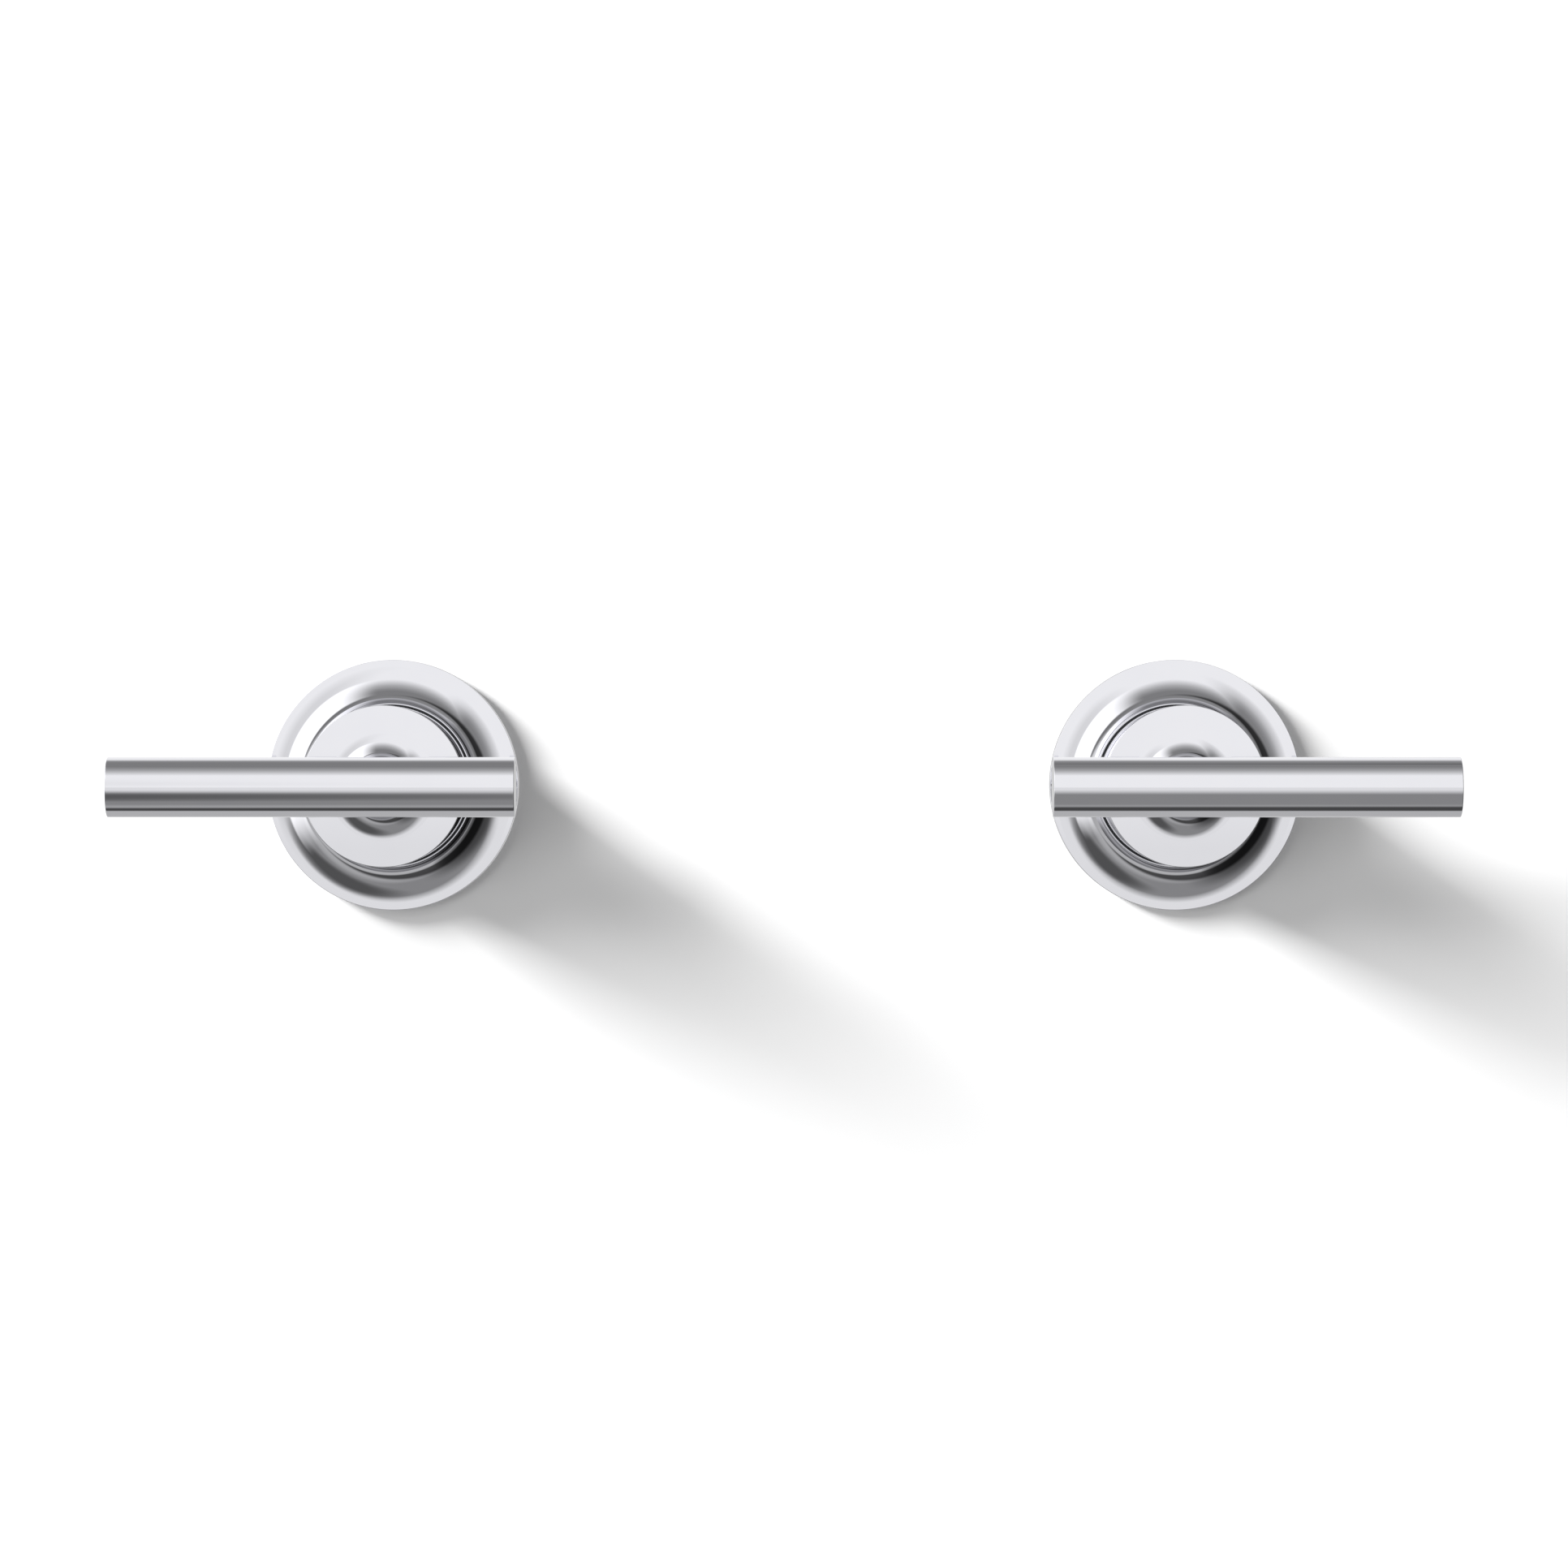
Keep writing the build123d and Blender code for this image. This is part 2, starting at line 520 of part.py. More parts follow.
left_pieces["rose"] = rose

# Washers and bolts that clamp the plate to the door
with BuildPart() as bolt_washers:
    with BuildSketch(face_at(PLATE_T)):
        with GridLocations(0, BOLT_PITCH, 1, 2):
            Circle(WASHER_R)
            Circle(BOLT_R + SCREW_GAP, mode=Mode.SUBTRACT)
    extrude(amount=WASHER_T)
left_pieces["bolt_washers"] = bolt_washers

with BuildPart() as fixing_bolts:
    with BuildSketch(face_at(-BOLT_TAIL)):
        with GridLocations(0, BOLT_PITCH, 1, 2):
            Circle(BOLT_R)
    extrude(amount=BOLT_TAIL)
    chamfer(fixing_bolts.edges().filter_by(GeomType.CIRCLE).group_by(Axis.Y)[-1], length=BOLT_TIP)
    with BuildSketch(face_at(0)):
        with GridLocations(0, BOLT_PITCH, 1, 2):
            Circle(BOLT_SHANK_R)
    extrude(amount=PLATE_T + WASHER_T)
    with BuildSketch(face_at(PLATE_T + WASHER_T)):
        with GridLocations(0, BOLT_PITCH, 1, 2):
            Circle(BOLT_HEAD_R)
    extrude(amount=BOLT_HEAD)
    with BuildSketch(face_at(PLATE_T + WASHER_T + BOLT_HEAD)):
        with GridLocations(0, BOLT_PITCH, 1, 2):
            RegularPolygon(BOLT_KEY_R, KEY_SIDES)
    extrude(amount=-BOLT_KEY_DEPTH, mode=Mode.SUBTRACT)
left_pieces["fixing_bolts"] = fixing_bolts

# Each piece of the left handle, and its mirror image for the right handle
for name, piece in left_pieces.items():
    piece.part.label = "left_" + name
    export_step(piece.part, "parts/left_" + name + ".step")
    with BuildPart() as right_piece:
        mirror(piece.part, about=Plane.YZ)
    right_piece.part.label = "right_" + name
    export_step(right_piece.part, "parts/right_" + name + ".step")
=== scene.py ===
# %% [markdown]
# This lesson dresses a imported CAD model: a mirrored pair of door lever handles in bright chrome, seen
# straight on against a white door. The CAD frame is the measure for every piece. A mirror finish
# shows each flat facet, so the shining outer pieces are turned again here with finely divided, smooth
# meshes, and so are the wound spring and the screws that show from behind. The other pieces keep
# their CAD meshes and get the finish of the real material.

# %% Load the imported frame
import json
import math

import bmesh
import bpy
from mathutils import Matrix, Vector


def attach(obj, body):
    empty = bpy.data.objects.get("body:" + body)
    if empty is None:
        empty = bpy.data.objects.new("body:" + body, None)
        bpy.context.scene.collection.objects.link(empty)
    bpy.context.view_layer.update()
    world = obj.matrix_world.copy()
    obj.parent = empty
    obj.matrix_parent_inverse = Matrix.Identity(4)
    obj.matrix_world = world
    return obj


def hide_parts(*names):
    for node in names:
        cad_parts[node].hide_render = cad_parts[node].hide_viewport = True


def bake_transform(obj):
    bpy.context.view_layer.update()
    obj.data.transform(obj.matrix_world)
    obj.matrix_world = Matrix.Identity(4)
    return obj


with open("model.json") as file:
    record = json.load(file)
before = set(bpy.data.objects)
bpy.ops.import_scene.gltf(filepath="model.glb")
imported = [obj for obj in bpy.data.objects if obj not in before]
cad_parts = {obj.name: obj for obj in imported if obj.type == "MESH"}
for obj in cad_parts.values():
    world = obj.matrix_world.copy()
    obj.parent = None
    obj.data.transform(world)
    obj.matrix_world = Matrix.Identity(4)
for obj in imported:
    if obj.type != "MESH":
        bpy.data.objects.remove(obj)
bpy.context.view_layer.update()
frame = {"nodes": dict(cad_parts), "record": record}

# %% [markdown]
# All finishes are built from nodes. Small helpers keep that readable: one turns a colour as it is
# picked on screen into the linear values that Blender calculates with, one starts an empty finish, and
# one adds a node with its settings and links. Patterns read Object coordinates in metres, so one more
# turns a real size in millimetres into a pattern's scale.

# %% Helpers for finishes
MM = 0.001


def linear(screen_hex):
    channels = [int(screen_hex[i : i + 2], 16) / 255 for i in (1, 3, 5)]
    return [c / 12.92 if c <= 0.04045 else ((c + 0.055) / 1.055) ** 2.4 for c in channels] + [1.0]


def per_metre(size_mm):
    return 1 / (size_mm * MM)


def add_node(tree, kind, inputs, **settings):
    node = tree.nodes.new(kind)
    for name, value in settings.items():
        setattr(node, name, value)
    for socket, value in inputs.items():
        if isinstance(value, bpy.types.NodeSocket):
            tree.links.new(value, node.inputs[socket])
        else:
            node.inputs[socket].default_value = value
    return node


def start_finish(name):
    finish = bpy.data.materials.new(name)
    finish.use_nodes = True
    finish.node_tree.nodes.clear()
    return finish, finish.node_tree


print("white as linear light:", linear("#ffffff"))

# %% [markdown]
# The pieces that turn on a lathe carry marks round their own axis. The two handles stand 203.2 mm
# apart and are mirror images, so the size of x, less half that distance, places both round one axis.
# From it come two numbers that the lathe finishes share: the radius and the height along the axis.

# %% Lathe coordinates for a finish
HALF_SPACING = 101.6


def lathe_place(tree):
    place = add_node(tree, "ShaderNodeTexCoord", {})
    split = add_node(tree, "ShaderNodeSeparateXYZ", {"Vector": place.outputs["Object"]})
    size_x = add_node(tree, "ShaderNodeMath", {0: split.outputs["X"]}, operation="ABSOLUTE")
    from_axis = add_node(
        tree, "ShaderNodeMath", {0: size_x.outputs[0], 1: HALF_SPACING * MM}, operation="SUBTRACT"
    )
    across = add_node(
        tree, "ShaderNodeCombineXYZ", {"X": from_axis.outputs[0], "Z": split.outputs["Z"]}
    )
    radius = add_node(tree, "ShaderNodeVectorMath", {0: across.outputs[0]}, operation="LENGTH")
    marks = add_node(
        tree, "ShaderNodeCombineXYZ", {"X": radius.outputs["Value"], "Y": split.outputs["Y"]}
    )
    return place.outputs["Object"], marks.outputs[0]


print("axes at x = +-", HALF_SPACING, "mm")

# %% [markdown]
# Bright chrome: a thin layer of chromium over polished metal, buffed on soft wheels. It gives the eye
# a hard mirror, a shade cool, with only a trace of haze where the wheel dwelt. The haze is a slow
# noise of about 9 mm that moves both the tone and the roughness, but only by a little: on real chrome
# it shows as a faint softening of what is mirrored, never as spots. The cut edge of the rose, in the
# joint below the hub, is out of the wheel's reach, so the metal there stays rougher. Its colour there
# is also painted dark: painted shade in the joint under the hub.

# %% Bright chrome
JOINT_R = 20.9
JOINT_HEIGHT = 14.05
JOINT_FADE = 0.06
JOINT_ROUGHNESS = 0.5

chrome, tree = start_finish("bright_chrome_plated_and_buffed")
place, marks = lathe_place(tree)
turned = add_node(tree, "ShaderNodeSeparateXYZ", {"Vector": marks})
inside = add_node(
    tree, "ShaderNodeMapRange",
    {
        "Value": turned.outputs["X"],
        "From Min": (JOINT_R + JOINT_FADE) * MM, "From Max": (JOINT_R - JOINT_FADE) * MM,
    },
)
below = add_node(
    tree, "ShaderNodeMapRange",
    {
        "Value": turned.outputs["Y"],
        "From Min": (-JOINT_HEIGHT - JOINT_FADE) * MM, "From Max": (JOINT_FADE - JOINT_HEIGHT) * MM,
    },
)
# The joint mask marks the unbuffed edge under the hub: rougher metal there, and painted shade in its
# colour.
joint_dull_and_shade = add_node(
    tree, "ShaderNodeMath", {0: inside.outputs[0], 1: below.outputs[0]}, operation="MULTIPLY"
)
haze = add_node(tree, "ShaderNodeTexNoise", {"Vector": place, "Scale": per_metre(9), "Detail": 3.0})
gloss = add_node(
    tree, "ShaderNodeMapRange",
    {"Value": haze.outputs["Fac"], "From Min": 0.3, "From Max": 0.7, "To Min": 0.012, "To Max": 0.028},
)
tone = add_node(
    tree, "ShaderNodeMix",
    {"Factor": haze.outputs["Fac"], 6: linear("#e8e8ed"), 7: linear("#ebebef")}, data_type="RGBA",
)
# Painted shade: the colour turns dark grey in the joint below the hub.
tone_with_joint_shade = add_node(
    tree, "ShaderNodeMix", {"Factor": joint_dull_and_shade.outputs[0], 6: tone.outputs[2], 7: linear("#5a5b5e")},
    data_type="RGBA",
)
rough = add_node(
    tree, "ShaderNodeMix", {0: joint_dull_and_shade.outputs[0], 2: gloss.outputs[0], 3: JOINT_ROUGHNESS},
    data_type="FLOAT",
)
shader = add_node(
    tree, "ShaderNodeBsdfPrincipled",
    {"Base Color": tone_with_joint_shade.outputs[2], "Metallic": 1.0, "Roughness": rough.outputs[0]},
)
add_node(tree, "ShaderNodeOutputMaterial", {"Surface": shader.outputs[0]})
print(chrome.name)

# %% [markdown]
# Zinc-plated steel covers the screws, bolts, washers and the mounting plate. Zinc grows in small
# crystals and is then passivated, so it looks like dull silver with a faint patchwork of cool and
# warm tones. A cell pattern of 1.2 mm draws the crystals, and a noise of 7 mm the drifting tint.

# %% Zinc-plated steel
zinc, tree = start_finish("zinc_plated_steel_passivated")
place = add_node(tree, "ShaderNodeTexCoord", {}).outputs["Object"]
crystals = add_node(
    tree, "ShaderNodeTexVoronoi", {"Vector": place, "Scale": per_metre(1.2)}, feature="F1"
)
drift = add_node(tree, "ShaderNodeTexNoise", {"Vector": place, "Scale": per_metre(7), "Detail": 4.0})
tone = add_node(
    tree, "ShaderNodeMix",
    {"Factor": drift.outputs["Fac"], 6: linear("#b9c0cb"), 7: linear("#d3d0c6")}, data_type="RGBA",
)
facets = add_node(tree, "ShaderNodeSeparateColor", {"Color": crystals.outputs["Color"]})
gloss = add_node(
    tree, "ShaderNodeMapRange", {"Value": facets.outputs["Red"], "To Min": 0.24, "To Max": 0.4}
)
relief = add_node(
    tree, "ShaderNodeBump",
    {"Height": crystals.outputs["Distance"], "Strength": 0.15, "Distance": 0.05 * MM},
)
shader = add_node(
    tree, "ShaderNodeBsdfPrincipled",
    {
        "Base Color": tone.outputs[2], "Metallic": 1.0, "Roughness": gloss.outputs[0],
        "Normal": relief.outputs[0],
    },
)
add_node(tree, "ShaderNodeOutputMaterial", {"Surface": shader.outputs[0]})
print(zinc.name)

# %% [markdown]
# Bright drawn steel is pulled through a die, which leaves fine straight lines along its length, here
# the direction through the door. The spindle, sleeve, stop ring and stop pin are cut from such stock.
# The lines are 0.1 mm apart on the real thing and are drawn 0.5 mm wide, stretched forty times.

# %% Bright drawn steel
drawn_steel, tree = start_finish("bright_drawn_steel")
place = add_node(tree, "ShaderNodeTexCoord", {}).outputs["Object"]
stretched = add_node(tree, "ShaderNodeMapping", {"Vector": place, "Scale": (1.0, 1 / 40, 1.0)})
lines = add_node(
    tree, "ShaderNodeTexNoise",
    {"Vector": stretched.outputs[0], "Scale": per_metre(0.5), "Detail": 3.0},
)
tone = add_node(
    tree, "ShaderNodeMix",
    {"Factor": lines.outputs["Fac"], 6: linear("#8d9095"), 7: linear("#b3b4b4")}, data_type="RGBA",
)
gloss = add_node(
    tree, "ShaderNodeMapRange", {"Value": lines.outputs["Fac"], "To Min": 0.22, "To Max": 0.42}
)
relief = add_node(
    tree, "ShaderNodeBump", {"Height": lines.outputs["Fac"], "Strength": 0.2, "Distance": 0.02 * MM}
)
shader = add_node(
    tree, "ShaderNodeBsdfPrincipled",
    {
        "Base Color": tone.outputs[2], "Metallic": 1.0, "Roughness": gloss.outputs[0],
        "Normal": relief.outputs[0],
    },
)
add_node(tree, "ShaderNodeOutputMaterial", {"Surface": shader.outputs[0]})
print(drawn_steel.name)

# %% [markdown]
# The grub screw is black steel: heated and quenched in oil, so that a thin dark oxide stays. It is
# nearly black with brown patches and a soft, oily shine. A noise of 1.5 mm moves both.

# %% Black oxide steel
black_steel, tree = start_finish("black_oxide_steel_oiled")
place = add_node(tree, "ShaderNodeTexCoord", {}).outputs["Object"]
patches = add_node(
    tree, "ShaderNodeTexNoise", {"Vector": place, "Scale": per_metre(1.5), "Detail": 4.0}
)
tone = add_node(
    tree, "ShaderNodeMix",
    {"Factor": patches.outputs["Fac"], 6: linear("#2c2d30"), 7: linear("#453f3a")}, data_type="RGBA",
)
gloss = add_node(
    tree, "ShaderNodeMapRange", {"Value": patches.outputs["Fac"], "To Min": 0.3, "To Max": 0.55}
)
shader = add_node(
    tree, "ShaderNodeBsdfPrincipled",
    {"Base Color": tone.outputs[2], "Metallic": 1.0, "Roughness": gloss.outputs[0]},
)
add_node(tree, "ShaderNodeOutputMaterial", {"Surface": shader.outputs[0]})
print(black_steel.name)

# %% [markdown]
# Spring wire is hard-drawn steel with a grey phosphate coat that held the drawing soap. It looks dark
# and silky, with small worn spots where it rubs. A fine noise of 0.8 mm draws the coat's grain.

# %% Phosphated spring wire
spring_wire, tree = start_finish("phosphated_spring_steel_wire")
place = add_node(tree, "ShaderNodeTexCoord", {}).outputs["Object"]
grain = add_node(tree, "ShaderNodeTexNoise", {"Vector": place, "Scale": per_metre(0.8), "Detail": 5.0})
tone = add_node(
    tree, "ShaderNodeMix",
    {"Factor": grain.outputs["Fac"], 6: linear("#55575b"), 7: linear("#8a8b8c")}, data_type="RGBA",
)
gloss = add_node(
    tree, "ShaderNodeMapRange", {"Value": grain.outputs["Fac"], "To Min": 0.5, "To Max": 0.28}
)
relief = add_node(
    tree, "ShaderNodeBump", {"Height": grain.outputs["Fac"], "Strength": 0.25, "Distance": 0.03 * MM}
)
shader = add_node(
    tree, "ShaderNodeBsdfPrincipled",
    {
        "Base Color": tone.outputs[2], "Metallic": 1.0, "Roughness": gloss.outputs[0],
        "Normal": relief.outputs[0],
    },
)
add_node(tree, "ShaderNodeOutputMaterial", {"Surface": shader.outputs[0]})
print(spring_wire.name)

# %% [markdown]
# The bearing tower is turned from brass. The lathe tool leaves one fine groove for each turn, 0.15 mm
# apart on the real piece and drawn 0.5 mm apart here, round the axis on faces and walls alike. Handling
# dulls it in slow brownish clouds of about 10 mm.

# %% Turned brass
brass, tree = start_finish("turned_brass")
place, marks = lathe_place(tree)
grooves = add_node(
    tree, "ShaderNodeTexNoise", {"Vector": marks, "Scale": per_metre(0.5), "Detail": 1.0}
)
clouds = add_node(
    tree, "ShaderNodeTexNoise", {"Vector": place, "Scale": per_metre(10), "Detail": 4.0}
)
tone = add_node(
    tree, "ShaderNodeMix",
    {"Factor": clouds.outputs["Fac"], 6: linear("#d3ae5f"), 7: linear("#b08a45")}, data_type="RGBA",
)
gloss = add_node(
    tree, "ShaderNodeMapRange", {"Value": grooves.outputs["Fac"], "To Min": 0.18, "To Max": 0.38}
)
relief = add_node(
    tree, "ShaderNodeBump", {"Height": grooves.outputs["Fac"], "Strength": 0.3, "Distance": 0.02 * MM}
)
shader = add_node(
    tree, "ShaderNodeBsdfPrincipled",
    {
        "Base Color": tone.outputs[2], "Metallic": 1.0, "Roughness": gloss.outputs[0],
        "Normal": relief.outputs[0],
    },
)
add_node(tree, "ShaderNodeOutputMaterial", {"Surface": shader.outputs[0]})
print(brass.name)

# %% [markdown]
# The bushes and the thrust washer are natural acetal, a hard plastic machined from rod. It is milky
# white with a waxy gloss, takes faint lathe lines, and lets a little light into its surface.

# %% Machined acetal
acetal, tree = start_finish("machined_natural_acetal")
place, marks = lathe_place(tree)
grooves = add_node(
    tree, "ShaderNodeTexNoise", {"Vector": marks, "Scale": per_metre(0.4), "Detail": 1.0}
)
clouds = add_node(
    tree, "ShaderNodeTexNoise", {"Vector": place, "Scale": per_metre(6), "Detail": 3.0}
)
tone = add_node(
    tree, "ShaderNodeMix",
    {"Factor": clouds.outputs["Fac"], 6: linear("#e6e2d6"), 7: linear("#dcd7c8")}, data_type="RGBA",
)
gloss = add_node(
    tree, "ShaderNodeMapRange", {"Value": grooves.outputs["Fac"], "To Min": 0.32, "To Max": 0.5}
)
shader = add_node(
    tree, "ShaderNodeBsdfPrincipled",
    {
        "Base Color": tone.outputs[2], "Roughness": gloss.outputs[0], "IOR": 1.48,
        "Subsurface Weight": 0.1, "Subsurface Scale": 0.5 * MM,
    },
)
add_node(tree, "ShaderNodeOutputMaterial", {"Surface": shader.outputs[0]})
print(acetal.name)

# %% [markdown]
# The grip ring is moulded nitrile rubber: near black, matt, with a bloom of greyish dust. A noise of
# 0.6 mm gives the moulded skin its grain and one of 5 mm moves the bloom.

# %% Moulded rubber
rubber, tree = start_finish("moulded_nitrile_rubber")
place = add_node(tree, "ShaderNodeTexCoord", {}).outputs["Object"]
skin = add_node(tree, "ShaderNodeTexNoise", {"Vector": place, "Scale": per_metre(0.6), "Detail": 4.0})
bloom = add_node(tree, "ShaderNodeTexNoise", {"Vector": place, "Scale": per_metre(5), "Detail": 3.0})
tone = add_node(
    tree, "ShaderNodeMix",
    {"Factor": bloom.outputs["Fac"], 6: linear("#1b1c1d"), 7: linear("#303132")}, data_type="RGBA",
)
gloss = add_node(
    tree, "ShaderNodeMapRange", {"Value": skin.outputs["Fac"], "To Min": 0.6, "To Max": 0.85}
)
relief = add_node(
    tree, "ShaderNodeBump", {"Height": skin.outputs["Fac"], "Strength": 0.3, "Distance": 0.05 * MM}
)
shader = add_node(
    tree, "ShaderNodeBsdfPrincipled",
    {
        "Base Color": tone.outputs[2], "Roughness": gloss.outputs[0], "IOR": 1.52,
        "Normal": relief.outputs[0],
    },
)
add_node(tree, "ShaderNodeOutputMaterial", {"Surface": shader.outputs[0]})
print(rubber.name)

# %% [markdown]
# The pieces that keep their CAD meshes take these finishes as the record groups them. A CAD node is
# never moved or changed: only its material slots are filled.

# %% Dress the CAD nodes
FINISHES = {
    "chrome": chrome, "zinc_steel": zinc, "drawn_steel": drawn_steel, "black_steel": black_steel,
    "spring_steel": spring_wire, "brass": brass, "bush_plastic": acetal, "rubber": rubber,
}
for subpart in frame["record"]["subparts"]:
    slots = frame["nodes"][subpart["node"]].data.materials
    slots.clear()
    slots.append(FINISHES[subpart["material_slot"]])

# %% [markdown]
# A turned piece is drawn the way a lathe hand thinks of it: one vertex walks along half the section
# and leaves edges behind, straight ones by extruding it and round ones by spinning it, and the whole
# line is then spun round the axis. Each straight run gets a narrow strip at both ends. Smooth
# shading averages the slopes that meet at a point, and the strips keep that away from the flats.
# Millimetres are used until a piece is finished.

# %% Helpers for turned pieces
EDGE_STRIP = 0.12
MERGE_DISTANCE = 1e-4
TURN_STEPS = 256


def pen_down(shape, x, y):
    return shape.verts.new((x, y, 0))


def draw_line(shape, pen, x, y, strip=EDGE_STRIP):
    way = Vector((x, y, 0)) - pen.co
    stops = [strip, way.length - strip, way.length] if way.length > 3 * strip > 0 else [way.length]
    start = pen.co.copy()
    for stop in stops:
        pen = bmesh.ops.extrude_vert_indiv(shape, verts=[pen])["verts"][0]
        pen.co = start + way.normalized() * stop
    return pen


def draw_arc(shape, pen, x, y, degrees, steps):
    swung = bmesh.ops.spin(
        shape, geom=[pen], cent=(x, y, 0), axis=(0, 0, 1), angle=math.radians(degrees), steps=steps
    )
    return next(g for g in swung["geom_last"] if isinstance(g, bmesh.types.BMVert))


def turn(shape, centre=(0, 0, 0), axis=(0, 1, 0), steps=TURN_STEPS):
    bmesh.ops.remove_doubles(shape, verts=shape.verts, dist=MERGE_DISTANCE)
    bmesh.ops.spin(
        shape, geom=shape.verts[:] + shape.edges[:], cent=centre, axis=axis, angle=math.tau,
        steps=steps, use_merge=True,
    )
    bmesh.ops.remove_doubles(shape, verts=shape.verts, dist=MERGE_DISTANCE)
    bmesh.ops.recalc_face_normals(shape, faces=shape.faces)


print("lathe:", TURN_STEPS, "steps a turn")

# %% [markdown]
# Holes and grooves are cut by a boolean, as a drill or a mill cuts them, with tools that are small
# meshes of their own. Blank and tools become objects for a moment, because the boolean is a modifier,
# and are cleared away again.

# %% Helpers for cutting
HOLE_STEPS = 48
across_door = Matrix.Rotation(math.radians(90), 4, "X")


def on_circle(radius, degrees):
    return radius * math.cos(math.radians(degrees)), radius * math.sin(math.radians(degrees))


def add_drill(tool, radius, length, place, steps=HOLE_STEPS):
    bmesh.ops.create_cone(
        tool, cap_ends=True, segments=steps, radius1=radius, radius2=radius, depth=length, matrix=place
    )


def to_object(shape, name):
    mesh = bpy.data.meshes.new(name)
    shape.to_mesh(mesh)
    shape.free()
    made = bpy.data.objects.new(name, mesh)
    bpy.context.scene.collection.objects.link(made)
    return made


def work(shape, tools, operation="DIFFERENCE"):
    body = to_object(shape, "blank")
    for number, tool in enumerate(tools):
        step = body.modifiers.new(f"step_{number}", "BOOLEAN")
        step.operation = operation
        step.solver = "EXACT"
        step.object = to_object(tool, f"tool_{number}")
    depsgraph = bpy.context.evaluated_depsgraph_get()
    result = bpy.data.meshes.new_from_object(body.evaluated_get(depsgraph))
    whole = bmesh.new()
    whole.from_mesh(result)
    for used in [m.object for m in body.modifiers] + [body]:
        bpy.data.objects.remove(used)
    bpy.data.meshes.remove(result)
    return whole


print("drills have", HOLE_STEPS, "sides")

# %% [markdown]
# A finished piece is shaded smooth, apart from edges that turn by more than 28 degrees, and gets its
# finish. Left and right are one mesh, moved out to the left axis and mirrored for the right.

# %% Helpers for hanging a pair
CREASE = math.radians(28)


def finish_piece(shape, name, finish):
    for face in shape.faces:
        face.smooth = True
    piece = to_object(shape, name)
    piece.data.materials.append(finish)
    piece.data.set_sharp_from_angle(angle=CREASE)
    return piece


def hang_pair(shape, label, finish):
    pair = {}
    for side, sign in (("left", 1), ("right", -1)):
        twin = shape.copy()
        bmesh.ops.translate(twin, verts=twin.verts, vec=(-HALF_SPACING, 0, 0))
        bmesh.ops.scale(twin, verts=twin.verts, vec=(sign * MM, MM, MM))
        bmesh.ops.recalc_face_normals(twin, faces=twin.faces)
        pair[side] = finish_piece(twin, f"{side}_{label}", finish)
    print(label, len(shape.verts), "points,", len(shape.faces), "faces each")
    shape.free()
    return pair


print("creases start at", round(math.degrees(CREASE)), "degrees")

# %% [markdown]
# The lever bar is a length of round rod with flat ends, their edges just broken. Half its outline is
# drawn from the middle of one end to the middle of the other and spun round the rod's own axis. A
# drilled hole on the hidden side takes the screw that draws it down on the neck.

# %% Lever bar
BAR_R = 7.5
BAR_OUT = 67.0
BAR_IN = 34.6
BAR_AXIS = 70.2
BAR_EDGE = 0.2
EDGE_STEPS = 6
BAR_SCREW_HOLE_R = 3.02
BAR_SCREW_REACH = 3.2

rod = bmesh.new()
pen = pen_down(rod, -BAR_OUT, -BAR_AXIS)
pen = draw_line(rod, pen, -BAR_OUT, BAR_EDGE - BAR_AXIS - BAR_R)
pen = draw_arc(rod, pen, BAR_EDGE - BAR_OUT, BAR_EDGE - BAR_AXIS - BAR_R, 90, EDGE_STEPS)
pen = draw_line(rod, pen, BAR_IN - BAR_EDGE, -BAR_AXIS - BAR_R)
pen = draw_arc(rod, pen, BAR_IN - BAR_EDGE, BAR_EDGE - BAR_AXIS - BAR_R, 90, EDGE_STEPS)
draw_line(rod, pen, BAR_IN, -BAR_AXIS)
turn(rod, centre=(0, -BAR_AXIS, 0), axis=(1, 0, 0))

drill = bmesh.new()
drill_length = BAR_SCREW_REACH + 2 * BAR_R
drill_middle = Matrix.Translation((0, drill_length / 2 - BAR_AXIS - BAR_SCREW_REACH, 0))
add_drill(drill, BAR_SCREW_HOLE_R, drill_length, drill_middle @ across_door)
bars = hang_pair(work(rod, [drill]), "rod", chrome)
for side, bar in bars.items():
    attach(bar, f"{side}_lever")
    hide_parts(f"{side}_lever_bar")

# %% [markdown]
# The hub is a deep cup turned from solid, with a coved neck on its closed end. Its section is one
# closed line: mouth, skirt, flat disc, cove, neck, and back down inside past the screw's seat to the
# bore. The neck's end is then moved down on to the rod's round, as a file would cope it.

# %% Hub with its neck
HUB_R = 20.55
HUB_BORE_R = 18.4
HUB_MOUTH = 13.98
HUB_TOP = 45.8
HUB_CEILING = 42.3
HUB_EDGE = 0.2
NECK_R = 7.0
NECK_COVE_R = 6.8
NECK_COVE_STEPS = 36
NECK_BORE_R = 3.2
HEAD_POCKET_R = 6.2
HEAD_SEAT = 49.0
COPE_R = 7.52
COPE_LOOPS = 8

hub = bmesh.new()
pen = pen_down(hub, HUB_BORE_R, -HUB_MOUTH)
pen = draw_line(hub, pen, HUB_R - HUB_EDGE, -HUB_MOUTH)
pen = draw_arc(hub, pen, HUB_R - HUB_EDGE, -HUB_MOUTH - HUB_EDGE, -90, EDGE_STEPS)
pen = draw_line(hub, pen, HUB_R, HUB_EDGE - HUB_TOP)
pen = draw_arc(hub, pen, HUB_R - HUB_EDGE, HUB_EDGE - HUB_TOP, -90, EDGE_STEPS)
pen = draw_line(hub, pen, NECK_R + NECK_COVE_R, -HUB_TOP)
pen = draw_arc(hub, pen, NECK_R + NECK_COVE_R, -HUB_TOP - NECK_COVE_R, 90, NECK_COVE_STEPS)
pen = draw_line(hub, pen, NECK_R, -BAR_AXIS, strip=0)
cope_step = (NECK_BORE_R - NECK_R) / COPE_LOOPS
for loop in range(COPE_LOOPS):
    pen = draw_line(hub, pen, NECK_R + (loop + 1) * cope_step, -BAR_AXIS, strip=0)
